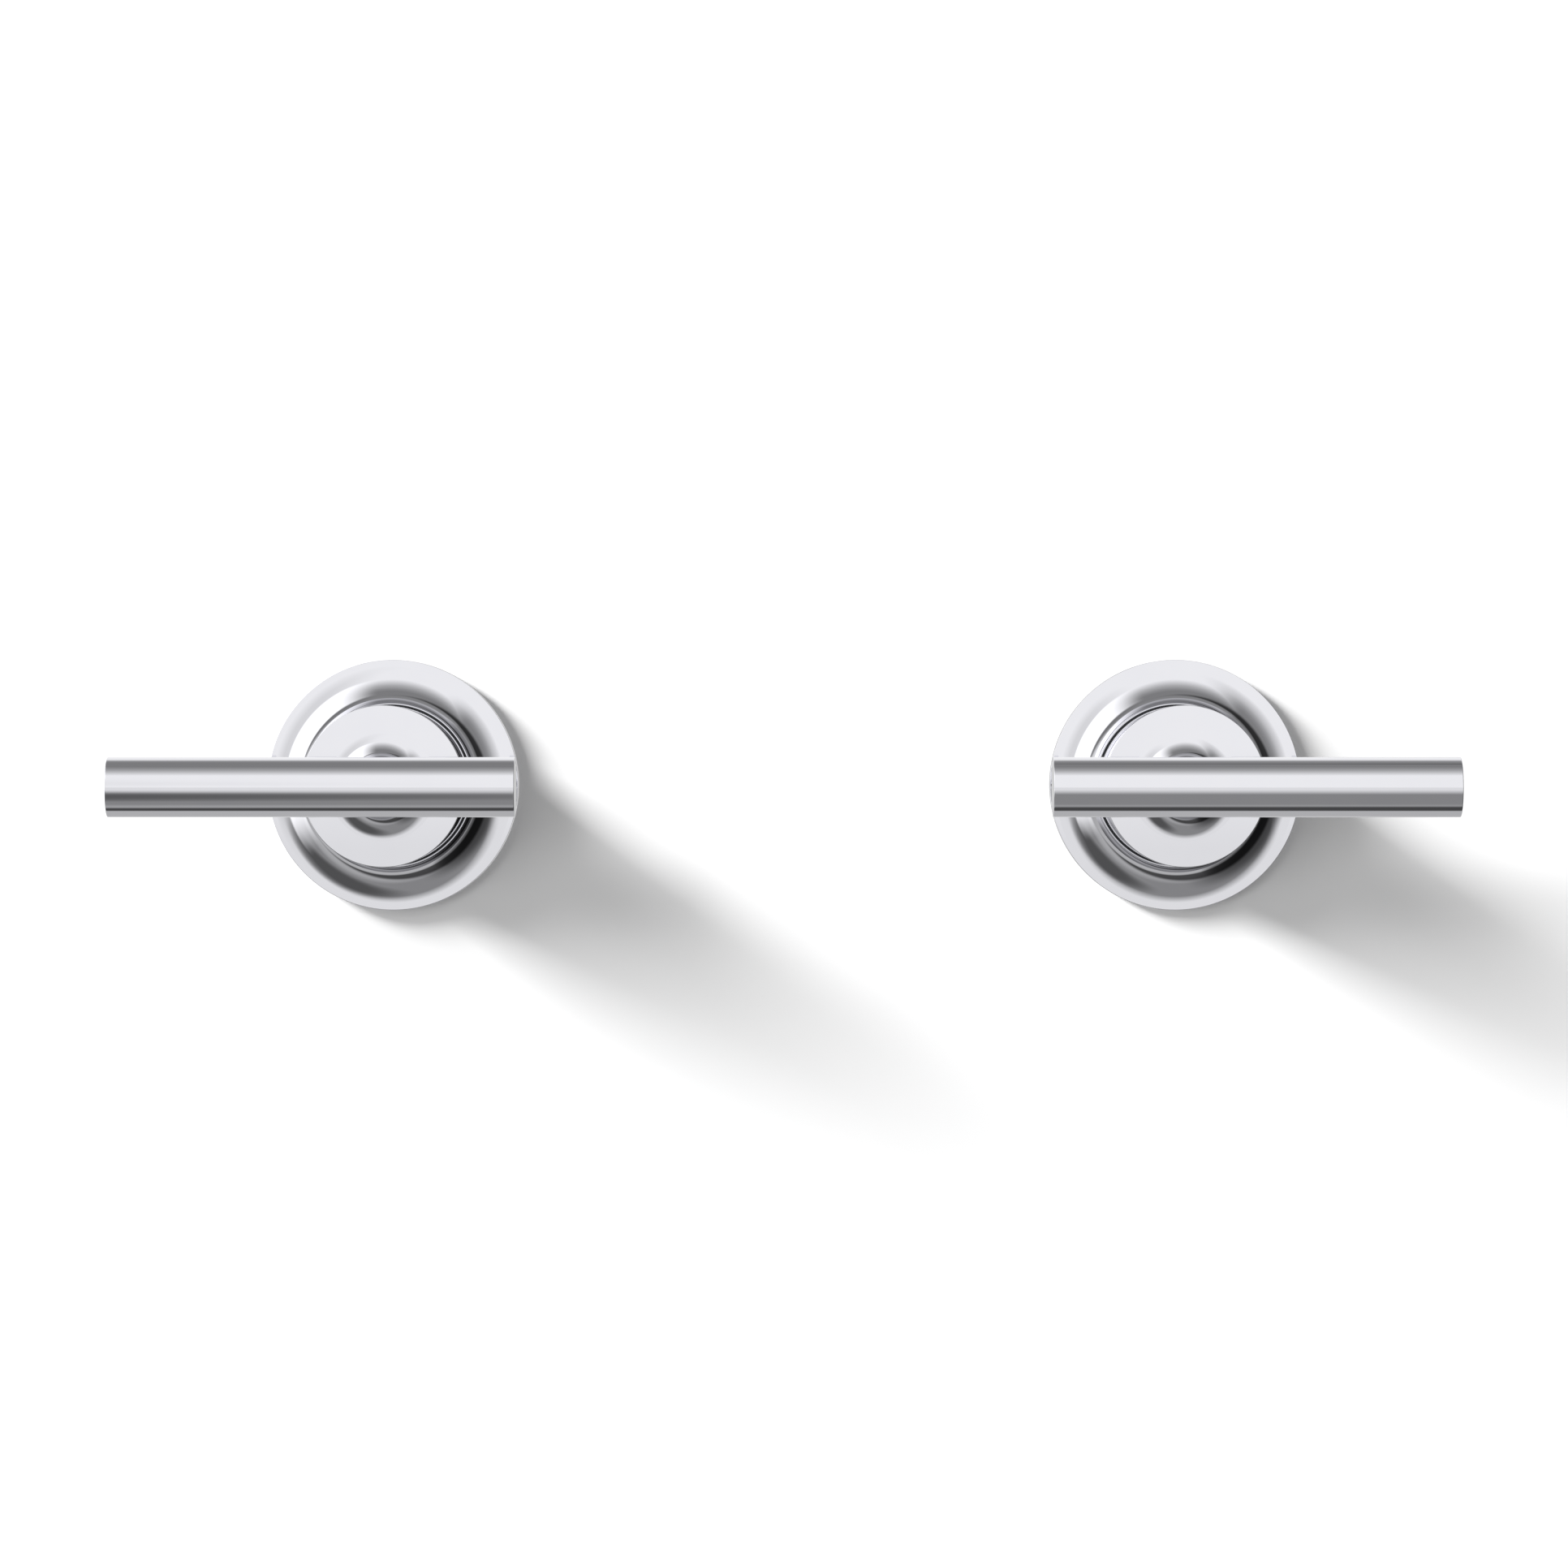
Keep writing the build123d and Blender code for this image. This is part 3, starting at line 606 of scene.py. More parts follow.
for radius, height in (
    (NECK_BORE_R, HEAD_SEAT), (HEAD_POCKET_R, HEAD_SEAT), (HEAD_POCKET_R, HUB_CEILING),
    (HUB_BORE_R, HUB_CEILING), (HUB_BORE_R, HUB_MOUTH),
):
    pen = draw_line(hub, pen, radius, -height)
turn(hub)
for vert in hub.verts:
    if abs(vert.co.y + BAR_AXIS) < EDGE_STRIP:
        vert.co.y = math.sqrt(COPE_R**2 - vert.co.z**2) - BAR_AXIS
print("turned hub", len(hub.faces), "faces")

# %% [markdown]
# From the lathe the hub goes to the mill. A hole underneath lets a key reach the grub screw, and three
# blind holes in the ceiling are tapped for the sleeve's screws. A groove along the bore holds the
# spring's outer leg. It lies beside the axis by the radius of the leg's bend. All three tools cut in
# one go.

# %% Holes and groove of the hub
KEY_HOLE_R = 2.2
KEY_HOLE_LENGTH = 6.0
KEY_HOLE_HEIGHT = 39.5
GROOVE_DEPTH = 1.2
GROOVE_WIDTH = 2.8
GROOVE_TOP = 23.7
LEG_BEND = 2.0
SLEEVE_SCREW_CIRCLE = 12.63
SLEEVE_SCREW_ANGLES = (90, 210, 330)
TAPPED_HOLE_R = 1.52
TAPPED_HOLE_DEPTH = 2.5
TAPPED_HOLE_STEPS = 32

key_hole = bmesh.new()
add_drill(key_hole, KEY_HOLE_R, KEY_HOLE_LENGTH, Matrix.Translation((0, -KEY_HOLE_HEIGHT, -HUB_R)))
groove = bmesh.new()
bmesh.ops.create_cube(
    groove, size=1,
    matrix=Matrix.Translation((HUB_BORE_R, -GROOVE_TOP / 2, LEG_BEND))
    @ Matrix.Diagonal((2 * GROOVE_DEPTH, GROOVE_TOP, GROOVE_WIDTH, 1)),
)
tapped_holes = bmesh.new()
for degrees in SLEEVE_SCREW_ANGLES:
    x, z = on_circle(SLEEVE_SCREW_CIRCLE, degrees)
    mouth = Matrix.Translation((x, -HUB_CEILING, z))
    add_drill(
        tapped_holes, TAPPED_HOLE_R, 2 * TAPPED_HOLE_DEPTH, mouth @ across_door, TAPPED_HOLE_STEPS
    )
hubs = hang_pair(work(hub, [key_hole, groove, tapped_holes]), "turned_hub", chrome)
for side, piece in hubs.items():
    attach(piece, f"{side}_lever")
    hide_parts(f"{side}_hub")

# %% [markdown]
# The rose is a shell spun from sheet over a former: a narrow flat rim that flows into one hollow
# curve up to the hub. Inner and outer curve share a centre, one wall thickness apart. The hollow gets
# many steps, because this is where the mirror bends the whole studio into thin rings. The lip below
# the hub is rounded, because a hard edge would draw the joint too sharply.

# %% Rose
ROSE_R = 32.5
ROSE_WALL = 1.7
ROSE_RIM = 5.3
RIM_EDGE = 0.1
HOLLOW_R = 10.2
HOLLOW_DEGREES = 78.0
HOLLOW_START_R = 31.2
LIP_EDGE = 0.6
LIP_STEPS = 10
HOLLOW_STEPS = 40

rose = bmesh.new()
pen = pen_down(rose, ROSE_R - ROSE_WALL, 0)
pen = draw_line(rose, pen, ROSE_R, 0)
pen = draw_line(rose, pen, ROSE_R, RIM_EDGE - ROSE_RIM)
pen = draw_arc(rose, pen, ROSE_R - RIM_EDGE, RIM_EDGE - ROSE_RIM, -90, EDGE_STEPS)
pen = draw_line(rose, pen, HOLLOW_START_R, -ROSE_RIM)
pen = draw_arc(rose, pen, HOLLOW_START_R, -ROSE_RIM - HOLLOW_R, HOLLOW_DEGREES, HOLLOW_STEPS)
lip = pen
slope = math.radians(HOLLOW_DEGREES)
inner_reach = HOLLOW_R + ROSE_WALL
pen = draw_line(
    rose, pen, HOLLOW_START_R - inner_reach * math.sin(slope),
    inner_reach * math.cos(slope) - ROSE_RIM - HOLLOW_R,
)
pen = draw_arc(rose, pen, HOLLOW_START_R, -ROSE_RIM - HOLLOW_R, -HOLLOW_DEGREES, HOLLOW_STEPS // 2)
pen = draw_line(rose, pen, ROSE_R - ROSE_WALL, ROSE_WALL - ROSE_RIM)
draw_line(rose, pen, ROSE_R - ROSE_WALL, 0)
bmesh.ops.bevel(
    rose, geom=[lip], offset=LIP_EDGE, affect="VERTICES", segments=LIP_STEPS, profile=0.5, material=-1
)
turn(rose)
roses = hang_pair(rose, "spun_rose", chrome)
for side, piece in roses.items():
    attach(piece, "door_side")
    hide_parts(f"{side}_rose")

# %% [markdown]
# The return spring is one round wire of 2 mm, wound three and a quarter turns round the tower. A
# curve with a round bevel could draw it too, but a spin does it like the winding machine: the wire's
# section is a circle, carried round the axis with a small rise at each step.

# %% Coil of the return spring
WIRE_R = 1.0
WIRE_SEGMENTS = 16
COIL_R = 14.7
COIL_START = 10.0
COIL_TURNS = 3.25
COIL_PITCH = 3.6
COIL_STEPS = 156

coil_top = COIL_START + COIL_TURNS * COIL_PITCH
spring = bmesh.new()
bmesh.ops.create_circle(
    spring, segments=WIRE_SEGMENTS, radius=WIRE_R,
    matrix=Matrix.Translation((0, -COIL_START, -COIL_R)) @ Matrix.Rotation(math.radians(90), 4, "Y"),
)
foot_ring = spring.verts[:] + spring.edges[:]
wound = bmesh.ops.spin(
    spring, geom=foot_ring, cent=(0, 0, 0), axis=(0, -1, 0), angle=math.tau * COIL_TURNS,
    steps=COIL_STEPS, dvec=(0, -COIL_TURNS * COIL_PITCH / COIL_STEPS, 0),
)
print("coil from", COIL_START, "to", coil_top, "mm above the door")

# %% [markdown]
# Each end of the wire is bent by another spin and drawn out straight: one leg stands in the tower's
# wall, one in the hub's groove. The lever winds the coil up. Here the mesh is set in place as it is,
# joined to neither side.

# %% Legs of the return spring
BEND_STEPS = 8
OUTER_LEG = 2.5
INNER_LEG = 1.7


def draw_leg(wire, ring, bend_centre, straight):
    bent = bmesh.ops.spin(
        wire, geom=ring, cent=bend_centre, axis=(0, 1, 0), angle=math.radians(90), steps=BEND_STEPS
    )
    drawn = bmesh.ops.extrude_edge_only(
        wire, edges=[g for g in bent["geom_last"] if isinstance(g, bmesh.types.BMEdge)]
    )
    tip = [g for g in drawn["geom"] if isinstance(g, bmesh.types.BMVert)]
    bmesh.ops.translate(wire, verts=tip, vec=straight)


draw_leg(spring, wound["geom_last"], (COIL_R + LEG_BEND, -coil_top, 0), (OUTER_LEG, 0, 0))
draw_leg(spring, foot_ring, (0, -COIL_START, LEG_BEND - COIL_R), (0, 0, INNER_LEG))
bmesh.ops.holes_fill(spring, edges=[e for e in spring.edges if e.is_boundary], sides=WIRE_SEGMENTS)
springs = hang_pair(spring, "wound_spring", spring_wire)
for side, piece in springs.items():
    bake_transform(piece)
    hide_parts(f"{side}_return_spring")
print("outer leg ends at", [round(x, 1) for x in (COIL_R + LEG_BEND + OUTER_LEG, -coil_top, LEG_BEND)])

# %% [markdown]
# The bolts and screws that show from behind have rolled threads. A thread is one groove that winds
# round the shank, so one pitch of its outline, with flanks at 60 degrees, is drawn and spun for many
# turns, rising one pitch a turn. Depth and crest are shares of the pitch. The ends are sawn flat.

# %% Helper for threads
THREAD_STEPS = 24
THREAD_DEPTH = 0.6
THREAD_CREST = 1 / 8
THREAD_FLANK = math.radians(30)


def wind_thread(outer_r, pitch, start, end):
    depth = THREAD_DEPTH * pitch
    flank = depth * math.tan(THREAD_FLANK)
    crest = THREAD_CREST * pitch
    thread = bmesh.new()
    pen = pen_down(thread, outer_r - depth, start - pitch)
    pen = draw_line(thread, pen, outer_r - depth, start - crest - 2 * flank, strip=0)
    pen = draw_line(thread, pen, outer_r, start - crest - flank, strip=0)
    pen = draw_line(thread, pen, outer_r, start - flank, strip=0)
    draw_line(thread, pen, outer_r - depth, start, strip=0)
    turns = math.ceil((end - start) / pitch) + 1
    bmesh.ops.spin(
        thread, geom=thread.verts[:] + thread.edges[:], cent=(0, 0, 0), axis=(0, 1, 0),
        angle=math.tau * turns, steps=THREAD_STEPS * turns, dvec=(0, pitch / THREAD_STEPS, 0),
    )
    bmesh.ops.remove_doubles(thread, verts=thread.verts, dist=MERGE_DISTANCE)
    for y, way in ((start, -1), (end, 1)):
        bmesh.ops.bisect_plane(
            thread, geom=thread.verts[:] + thread.edges[:] + thread.faces[:], plane_co=(0, y, 0),
            plane_no=(0, way, 0), clear_outer=True,
        )
    bmesh.ops.holes_fill(thread, edges=[e for e in thread.edges if e.is_boundary], sides=0)
    bmesh.ops.recalc_face_normals(thread, faces=thread.faces)
    return thread


print("threads:", THREAD_STEPS, "steps a turn")

# %% [markdown]
# A screw starts as a turned blank: a head with a softened edge, and a shank. The thread is joined on,
# a ring with a slanting inside chamfers the tip, and a hexagon is sunk for the key. The shank runs a
# little way into the thread and the ring runs past the tip, because a boolean dislikes faces that
# only just touch.

# %% Helper for screws
SCREW_STEPS = 64
RUN_IN = 0.15
HEAD_EDGE = 0.12
KEY_SIDES = 6


def make_screw(outer_r, pitch, shank_r, shank, length, tip, head_r, head, key_r, key_depth):
    soft = HEAD_EDGE * head
    blank = bmesh.new()
    pen = pen_down(blank, 0, -head)
    pen = draw_line(blank, pen, head_r - soft, -head)
    pen = draw_arc(blank, pen, head_r - soft, soft - head, 90, EDGE_STEPS)
    pen = draw_line(blank, pen, head_r, 0)
    pen = draw_line(blank, pen, shank_r, 0)
    pen = draw_line(blank, pen, shank_r, shank + RUN_IN)
    draw_line(blank, pen, 0, shank + RUN_IN)
    turn(blank, steps=SCREW_STEPS)
    screw = work(blank, [wind_thread(outer_r, pitch, shank, length)], "UNION")
    ring = bmesh.new()
    pen = pen_down(ring, outer_r - tip - RUN_IN, length + RUN_IN)
    pen = draw_line(ring, pen, outer_r + RUN_IN, length - tip - RUN_IN, strip=0)
    pen = draw_line(ring, pen, outer_r + RUN_IN, length + RUN_IN, strip=0)
    draw_line(ring, pen, outer_r - tip - RUN_IN, length + RUN_IN, strip=0)
    turn(ring, steps=SCREW_STEPS)
    hexagon = bmesh.new()
    head_face = Matrix.Translation((0, -head, 0))
    add_drill(hexagon, key_r, 2 * key_depth, head_face @ across_door, KEY_SIDES)
    return work(screw, [ring, hexagon])


print("screws:", SCREW_STEPS, "steps round, a key with", KEY_SIDES, "sides")

# %% [markdown]
# A screw keeps its right-hand thread on both handles, so screws are set in place one by one and not
# mirrored. The screws of one handle that are alike share one mesh, as they share one CAD node.

# %% Helper for setting screws
def hang_screws(screw, label, spots, node):
    for side, sign in (("left", -1), ("right", 1)):
        group = screw.copy()
        first = group.verts[:] + group.edges[:] + group.faces[:]
        for x, z in spots:
            twin = bmesh.ops.duplicate(group, geom=first)["geom"]
            moved = [g for g in twin if isinstance(g, bmesh.types.BMVert)]
            bmesh.ops.translate(group, verts=moved, vec=(sign * (HALF_SPACING - x), 0, z))
        bmesh.ops.delete(group, geom=first, context="VERTS")
        bmesh.ops.scale(group, verts=group.verts, vec=(MM, MM, MM))
        made = finish_piece(group, f"{side}_{label}", zinc)
        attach(made, "door_side")
        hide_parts(f"{side}_{node}")
    print(label, len(spots), "of", len(screw.faces), "faces each")
    screw.free()


print("screws take the finish", zinc.name)

# %% [markdown]
# Two M4 bolts clamp each handle through the door. The thread has a pitch of 0.7 mm, and the shank
# under the head is the thinner blank from which the thread was rolled.

# %% Fixing bolts
BOLT_SEAT = 3.8
BOLT_TAIL = 42.0
BOLT_SPOTS = ((0, 19), (0, -19))

bolt = make_screw(
    outer_r=2.0, pitch=0.7, shank_r=1.77, shank=BOLT_SEAT, length=BOLT_SEAT + BOLT_TAIL, tip=0.5,
    head_r=3.7, head=2.4, key_r=1.5, key_depth=1.5,
)
bmesh.ops.translate(bolt, verts=bolt.verts, vec=(0, -BOLT_SEAT, 0))
hang_screws(bolt, "threaded_bolts", BOLT_SPOTS, "fixing_bolts")

# %% [markdown]
# Three low-headed M3 screws come from behind through the plate into the tower. They are made like the
# bolts, with a pitch of 0.5 mm, and turned about to point outwards.

# %% Tower screws
TOWER_SCREW_SEAT = 1.7
TOWER_SCREW_CIRCLE = 12.7
TOWER_SCREW_ANGLES = (0, 120, 240)

tower_screw = make_screw(
    outer_r=1.5, pitch=0.5, shank_r=1.3, shank=0.3, length=3.9, tip=0.3,
    head_r=2.6, head=1.5, key_r=1.3, key_depth=0.8,
)
bmesh.ops.rotate(
    tower_screw, verts=tower_screw.verts, cent=(0, 0, 0), matrix=Matrix.Rotation(math.pi, 3, "X")
)
bmesh.ops.translate(tower_screw, verts=tower_screw.verts, vec=(0, -TOWER_SCREW_SEAT, 0))
tower_screw_spots = [on_circle(TOWER_SCREW_CIRCLE, degrees) for degrees in TOWER_SCREW_ANGLES]
hang_screws(tower_screw, "threaded_tower_screws", tower_screw_spots, "tower_screws")

# %% [markdown]
# The white door is one large plane just behind the roses, in bright matt paint, so plain lamps are
# enough to bring it to white. From behind it is see-through, which leaves the back of the handles
# open. An endless white plane would fill every mirror, so the chrome looks past it into the room.

# %% White door
DOOR_GAP = 0.0002
DOOR_SIZE = 4.0

white_door, tree = start_finish("white_painted_door")
paint = add_node(tree, "ShaderNodeBsdfDiffuse", {"Color": linear("#f6f6f6")})
clear = add_node(tree, "ShaderNodeBsdfTransparent", {})
facing = add_node(tree, "ShaderNodeNewGeometry", {})
both = add_node(
    tree, "ShaderNodeMixShader",
    {0: facing.outputs["Backfacing"], 1: paint.outputs[0], 2: clear.outputs[0]},
)
add_node(tree, "ShaderNodeOutputMaterial", {"Surface": both.outputs[0]})

door = bmesh.new()
bmesh.ops.create_grid(
    door, x_segments=1, y_segments=1, size=DOOR_SIZE / 2,
    matrix=Matrix.Translation((0, DOOR_GAP, 0)) @ across_door,
)
door = to_object(door, "door_backdrop")
door.data.materials.append(white_door)
door.visible_glossy = False
print("door faces", [round(x, 2) for x in door.data.polygons[0].normal])

# %% [markdown]
# A mirror has no colour of its own: it shows the room. The studio is white ahead, with grey flags
# above and below, as a photographer sets them to draw a dark line along chrome. To the right the room
# darkens, and at the left a thin grey veil hangs before a bright cloth that ends near the plane of
# the door. The cloth is a painted highlight: it glows where mirrors would show the lamps at the upper
# left, which mirrors do not see. All are drawn on one big dome that only mirrors see. The lists give
# its levels, 0 for black and 1 for white, at angles in degrees. The first runs by the rise from
# straight ahead: 90 is overhead, 180 behind and -90 underfoot. The others run by the angle away from
# straight ahead, and the last one says where the cloth is.

# %% Flags by angle
RISE_STOPS = (
    (-174, 0.65), (-168, 0.85), (-150, 0.5), (-107, 0.5), (-80, 0.42), (-66, 0.27), (-27, 0.27),
    (-9, 0.86), (-1, 0.86), (0, 1.0), (44, 1.0), (56, 0.67), (64, 0.48), (75, 0.32), (84, 0.24),
    (104, 0.24), (116, 0.28), (134, 1.0), (168, 1.0), (174, 0.65),
)
RIGHT_STOPS = (
    (22, 1.0), (31, 0.79), (42, 0.6), (50, 0.43), (59, 0.31), (68, 0.25), (84, 0.23), (100, 0.17),
    (107, 0.2), (114, 0.3), (130, 0.6),
)
LEFT_STOPS = ((8, 1.0), (28, 0.8), (110, 0.8), (140, 1.0))
PAINTED_HIGHLIGHT_STOPS = ((41, 0.0), (46, 1.0), (93, 1.0), (99, 0.0))

flags_and_highlight_look, tree = start_finish("studio_flags_and_painted_highlight")
place = add_node(tree, "ShaderNodeTexCoord", {})
way = add_node(tree, "ShaderNodeVectorMath", {0: place.outputs["Object"]}, operation="NORMALIZE")
split = add_node(tree, "ShaderNodeSeparateXYZ", {"Vector": way.outputs[0]})
ahead = add_node(tree, "ShaderNodeMath", {0: split.outputs["Y"], 1: -1.0}, operation="MULTIPLY")
rise = add_node(
    tree, "ShaderNodeMath", {0: split.outputs["Z"], 1: ahead.outputs[0]}, operation="ARCTAN2"
)
aside = add_node(tree, "ShaderNodeMath", {0: ahead.outputs[0]}, operation="ARCCOSINE")
levels = []
for angle, lowest, flag_stops in (
    (rise, -180, RISE_STOPS), (aside, 0, RIGHT_STOPS), (aside, 0, LEFT_STOPS), (aside, 0, PAINTED_HIGHLIGHT_STOPS)
):
    share = add_node(
        tree, "ShaderNodeMapRange",
        {"Value": angle.outputs[0], "From Min": math.radians(lowest), "From Max": math.pi},
    )
    ramp = add_node(tree, "ShaderNodeValToRGB", {"Fac": share.outputs[0]})
    stops = ramp.color_ramp.elements
    while len(stops) < len(flag_stops):
        stops.new(1.0)
    for stop, (degrees, grey) in zip(stops, flag_stops):
        stop.position = (degrees - lowest) / (180 - lowest)
        stop.color = (grey, grey, grey, 1.0)
    levels.append(ramp.outputs["Color"])
rise_level, right_level, left_level, painted_highlight_there = levels
print("levels in", len(levels), "ramps")

# %% [markdown]
# The right flag hangs on one side only, and so does the veil with its cloth. Two round dark flags
# stand low on either side. The dot product of two directions says how close they are, so each flag
# fades in from an outer angle round its middle, where it is clear, to an inner one, where it is full.
# With such soft edges the bands in the metal fade too.

# %% Sides of the flags
RIGHT_TURN = -8
RIGHT_FADE = (75, 50)
LEFT_TURN = 161
LEFT_FADE = (57, 14)
LOW_LEFT_WAY = (-0.438, -0.731, -0.522)
LOW_LEFT_FADE = (28, 12)
LOW_RIGHT_WAY = (0.837, -0.259, -0.483)
LOW_RIGHT_FADE = (48, 12)


def way_round(degrees):
    x, z = on_circle(1, degrees)
    return x, 0, z


flat_way = add_node(
    tree, "ShaderNodeCombineXYZ", {"X": split.outputs["X"], "Z": split.outputs["Z"]}
)
around = add_node(tree, "ShaderNodeVectorMath", {0: flat_way.outputs[0]}, operation="NORMALIZE")
sides = []
for source, towards, (clear_at, full_at) in (
    (around, way_round(RIGHT_TURN), RIGHT_FADE), (around, way_round(LEFT_TURN), LEFT_FADE),
    (way, LOW_LEFT_WAY, LOW_LEFT_FADE), (way, LOW_RIGHT_WAY, LOW_RIGHT_FADE),
):
    nearness = add_node(
        tree, "ShaderNodeVectorMath", {0: source.outputs[0], 1: towards}, operation="DOT_PRODUCT"
    )
    side = add_node(
        tree, "ShaderNodeMapRange",
        {
            "Value": nearness.outputs["Value"],
            "From Min": math.cos(math.radians(clear_at)), "From Max": math.cos(math.radians(full_at)),
        },
        interpolation_type="SMOOTHSTEP",
    )
    sides.append(side.outputs[0])
on_right, on_left, low_left, low_right = sides
print("flags on", len(sides), "sides")

# %% [markdown]
# A black strip closes the right side near the plane of the door. It is widest a little below the
# level of the handles: there its near edge comes 23 degrees closer to straight ahead. It draws the
# hard dark line that makes the metal look like chrome and not like grey paint.

# %% Black strip
STRIP_TURN = -28
STRIP_WIDER = 23
STRIP_NEAR_FADE = (86, 98)
STRIP_FAR_FADE = (105, 98)

nearness = add_node(
    tree, "ShaderNodeVectorMath", {0: around.outputs[0], 1: way_round(STRIP_TURN)},
    operation="DOT_PRODUCT",
)
reach = add_node(
    tree, "ShaderNodeMath",
    {0: nearness.outputs["Value"], 1: math.radians(STRIP_WIDER), 2: aside.outputs[0]},
    operation="MULTIPLY_ADD",
)
edges = []
for angle, (clear_at, dark_at) in ((reach, STRIP_NEAR_FADE), (aside, STRIP_FAR_FADE)):
    edge = add_node(
        tree, "ShaderNodeMapRange",
        {
            "Value": angle.outputs[0],
            "From Min": math.radians(clear_at), "From Max": math.radians(dark_at),
        },
        interpolation_type="SMOOTHSTEP",
    )
    edges.append(edge.outputs[0])
strip = add_node(tree, "ShaderNodeMath", {0: edges[0], 1: edges[1]}, operation="MULTIPLY")
print("strip up to", STRIP_WIDER, "degrees wider")

# %% [markdown]
# Now the flags are laid over one another. The right one takes the darker of two tones, the others
# dim what is behind them, and the cloth, the painted highlight of the lamps, burns to white over all.
# The dome itself lights nothing, because rays of the camera, of matt surfaces and of shadows pass it
# by.

# %% Flag dome
DOME_R = 3.0
DOME_STEPS = 64
LOW_LEFT_LEVEL = 0.35
LOW_RIGHT_LEVEL = 0.22
STRIP_LEVEL = 0.15
PAINTED_HIGHLIGHT_LEVEL = 1.6

shade = rise_level
for side, level, how in (
    (on_right, right_level, "MINIMUM"), (on_left, left_level, "MULTIPLY"),
    (low_left, LOW_LEFT_LEVEL, "MULTIPLY"), (low_right, LOW_RIGHT_LEVEL, "MULTIPLY"),
    (strip.outputs[0], STRIP_LEVEL, "MULTIPLY"),
):
    dimmed = add_node(tree, "ShaderNodeMix", {0: side, 2: 1.0, 3: level}, data_type="FLOAT")
    shade = add_node(
        tree, "ShaderNodeMath", {0: shade, 1: dimmed.outputs[0]}, operation=how
    ).outputs[0]
# Painted highlight: the cloth's glow stands for the lamps as a mirror would show them.
highlight_hung = add_node(tree, "ShaderNodeMath", {0: on_left, 1: painted_highlight_there}, operation="MULTIPLY")
brightness = add_node(
    tree, "ShaderNodeMix", {0: highlight_hung.outputs[0], 2: shade, 3: PAINTED_HIGHLIGHT_LEVEL}, data_type="FLOAT"
)
glow = add_node(
    tree, "ShaderNodeEmission", {"Color": linear("#ffffff"), "Strength": brightness.outputs[0]}
)
add_node(tree, "ShaderNodeOutputMaterial", {"Surface": glow.outputs[0]})
flags_and_highlight_look.cycles.emission_sampling = "NONE"

dome = bmesh.new()
bmesh.ops.create_uvsphere(dome, u_segments=DOME_STEPS, v_segments=DOME_STEPS // 2, radius=DOME_R)
dome = to_object(dome, "flag_dome")
dome.data.materials.append(flags_and_highlight_look)
for ray in ("camera", "diffuse", "shadow", "volume_scatter"):
    setattr(dome, f"visible_{ray}", False)
print("flag dome of", DOME_R, "m")

# %% [markdown]
# Four soft lamps light the scene from the upper left. They stand edge to edge on an arc, from less
# than half-way between straight ahead and the plane of the door to near that plane, so the shadow
# falls to the lower right, is crisp across and fades slowly along its length. The lower a lamp stands
# to the door, the less of its light the door takes, so the far lamps are stronger. A wide fill lamp
# nearer the front, at the left, draws the round shadow close to each rose. Mirrors don't see the
# lamps: they see the flags and the cloth in their place, and the cloth's glow is a painted highlight
# for the lamps. Each row gives a lamp's turn and tilt in degrees, its length and width in
# metres and its watts.

# %% Lamps
LAMP_DISTANCE = 6.0
LAMPS = (
    ("near_lamp", 149, 39, 1.16, 0.79, 86.0), ("middle_lamp", 149, 51, 1.26, 0.98, 116.0),
    ("far_lamp", 149, 63, 1.26, 1.12, 207.0), ("edge_lamp", 149, 72.5, 0.73, 1.2, 160.0),
    ("fill_lamp", 180, 30, 1.9, 1.9, 57.0),
)

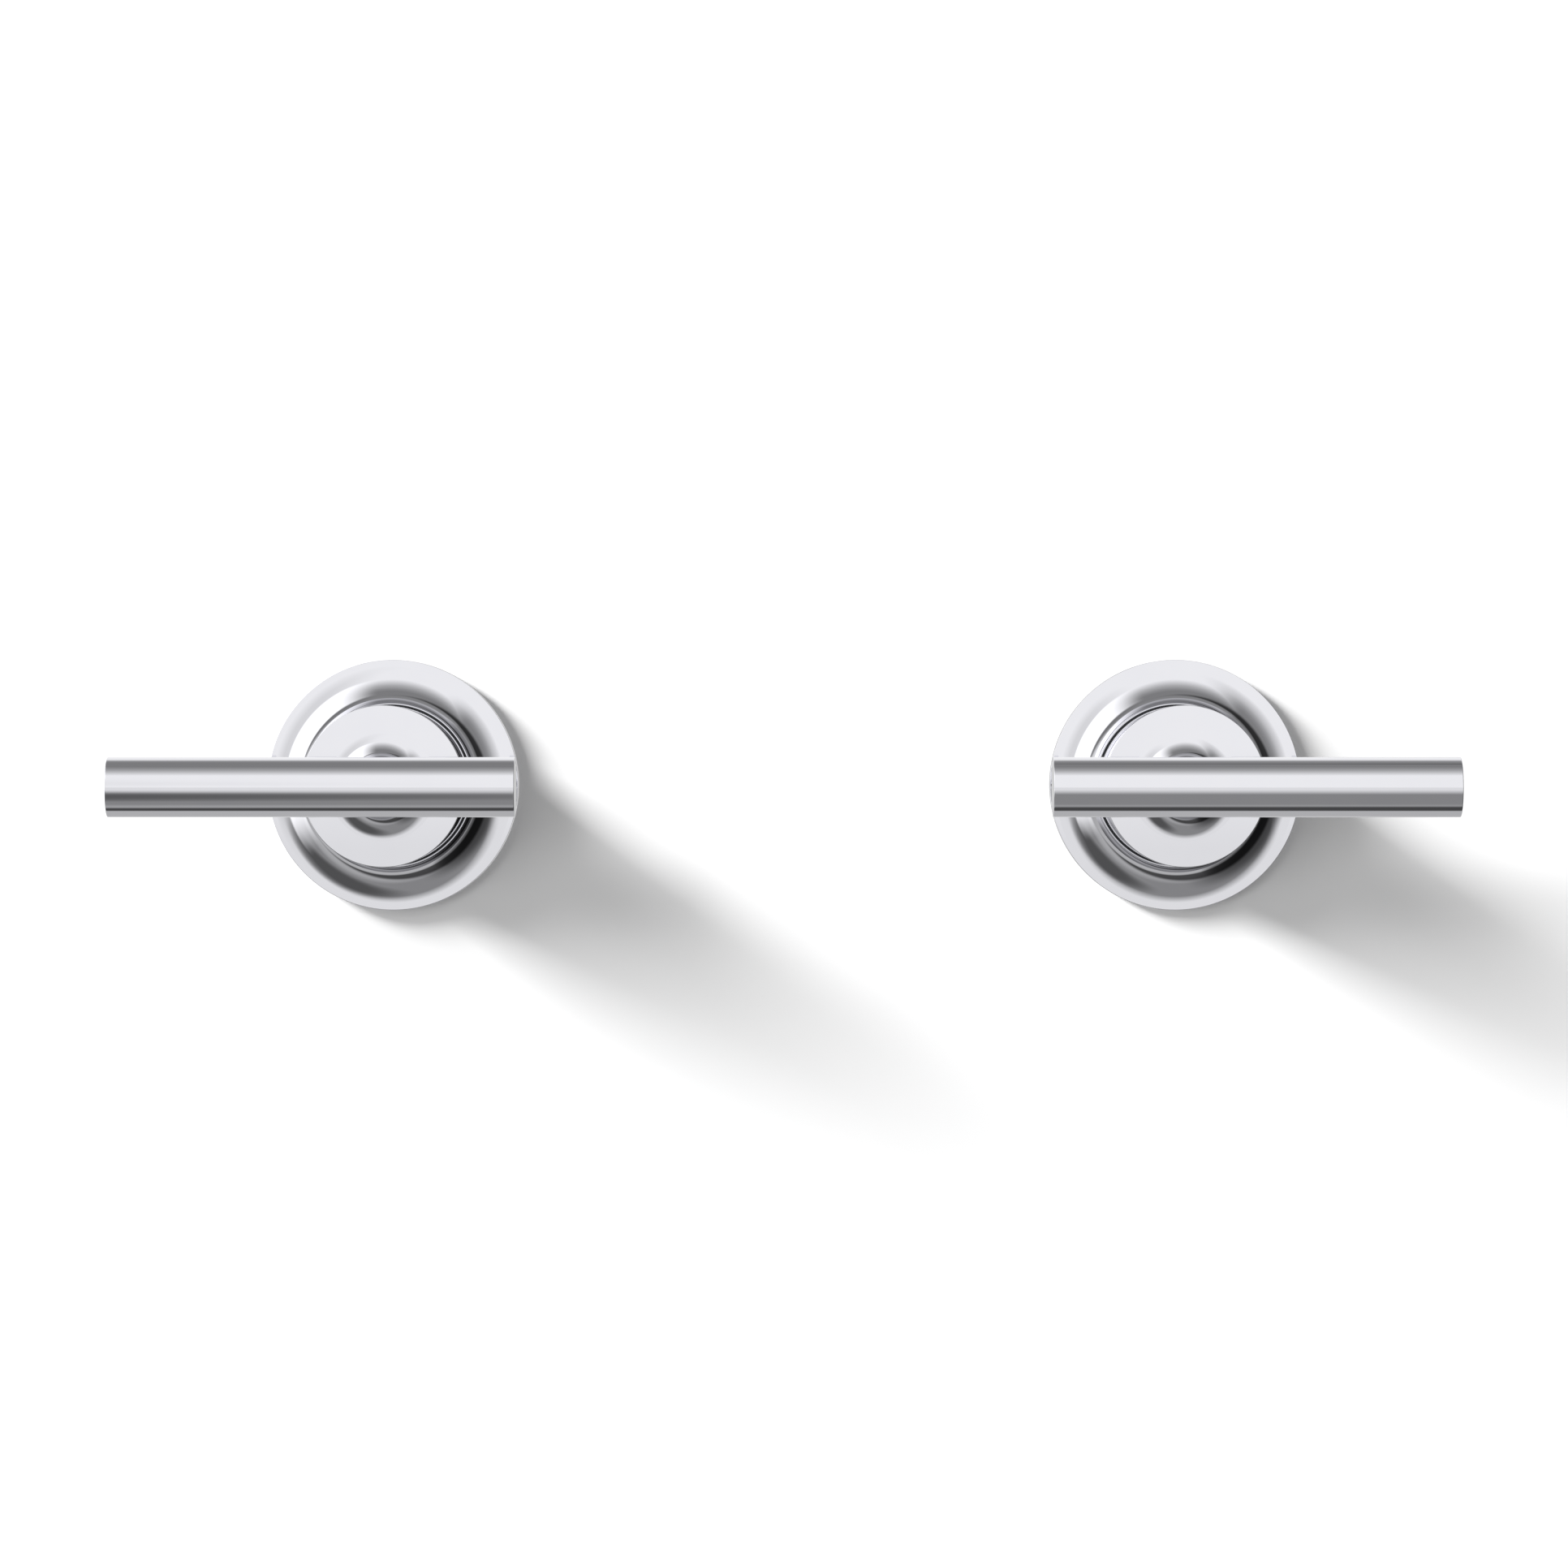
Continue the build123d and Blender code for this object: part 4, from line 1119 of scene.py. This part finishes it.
for name, turned_by, tilt, length, width, watts in LAMPS:
    lamp_data = bpy.data.lights.new(name, "AREA")
    lamp_data.shape = "RECTANGLE"
    lamp_data.size = length
    lamp_data.size_y = width
    lamp_data.energy = watts
    lamp = bpy.data.objects.new(name, lamp_data)
    lamp.matrix_world = (
        across_door
        @ Matrix.Rotation(math.radians(turned_by), 4, "Z")
        @ Matrix.Rotation(math.radians(tilt), 4, "Y")
        @ Matrix.Translation((0, 0, LAMP_DISTANCE))
    )
    lamp.visible_glossy = False
    bpy.context.scene.collection.objects.link(lamp)
    print(name, "at", [round(v, 2) for v in lamp.matrix_world.translation])

# %% [markdown]
# The room itself adds even light at about a third of white, so that no shadow is black. Where the
# room is seen, it looks white.

# %% Room
ROOM_LIGHT = 0.36

room = bpy.data.worlds.new("white_room")
room.use_nodes = True
room.node_tree.nodes.clear()
tree = room.node_tree
path = add_node(tree, "ShaderNodeLightPath", {})
seen = add_node(
    tree, "ShaderNodeMath",
    {0: path.outputs["Is Camera Ray"], 1: path.outputs["Is Glossy Ray"]}, operation="MAXIMUM",
)
seen = add_node(
    tree, "ShaderNodeMath",
    {0: seen.outputs[0], 1: path.outputs["Is Transmission Ray"]}, operation="MAXIMUM",
)
brightness = add_node(
    tree, "ShaderNodeMapRange", {"Value": seen.outputs[0], "To Min": ROOM_LIGHT, "To Max": 1.0}
)
light = add_node(
    tree, "ShaderNodeBackground", {"Color": linear("#ffffff"), "Strength": brightness.outputs[0]}
)
add_node(tree, "ShaderNodeOutputWorld", {"Surface": light.outputs[0]})
bpy.context.scene.world = room
print("room:", room.name)

# %% [markdown]
# The camera stands straight in front, a finger's breadth above the handles' axes, with a long lens:
# in the photograph the hubs lean only a little outwards. Its aim puts both axes on the middle line.

# %% Camera
CAMERA_PLACE = Vector((0, -1.587, 0.0139))
CAMERA_AIM = Vector((0, 0, 0.0002))
LENS_MM = 139.75
SENSOR_MM = 36

camera_data = bpy.data.cameras.new("camera")
camera_data.lens = LENS_MM
camera_data.sensor_width = SENSOR_MM
camera = bpy.data.objects.new("camera", camera_data)
camera.location = CAMERA_PLACE
camera.rotation_mode = "QUATERNION"
camera.rotation_quaternion = (CAMERA_AIM - CAMERA_PLACE).to_track_quat("-Z", "Y")
bpy.context.scene.collection.objects.link(camera)
bpy.context.scene.camera = camera
bpy.context.scene.view_settings.view_transform = "Standard"
print("camera at", [round(x, 3) for x in camera.location])
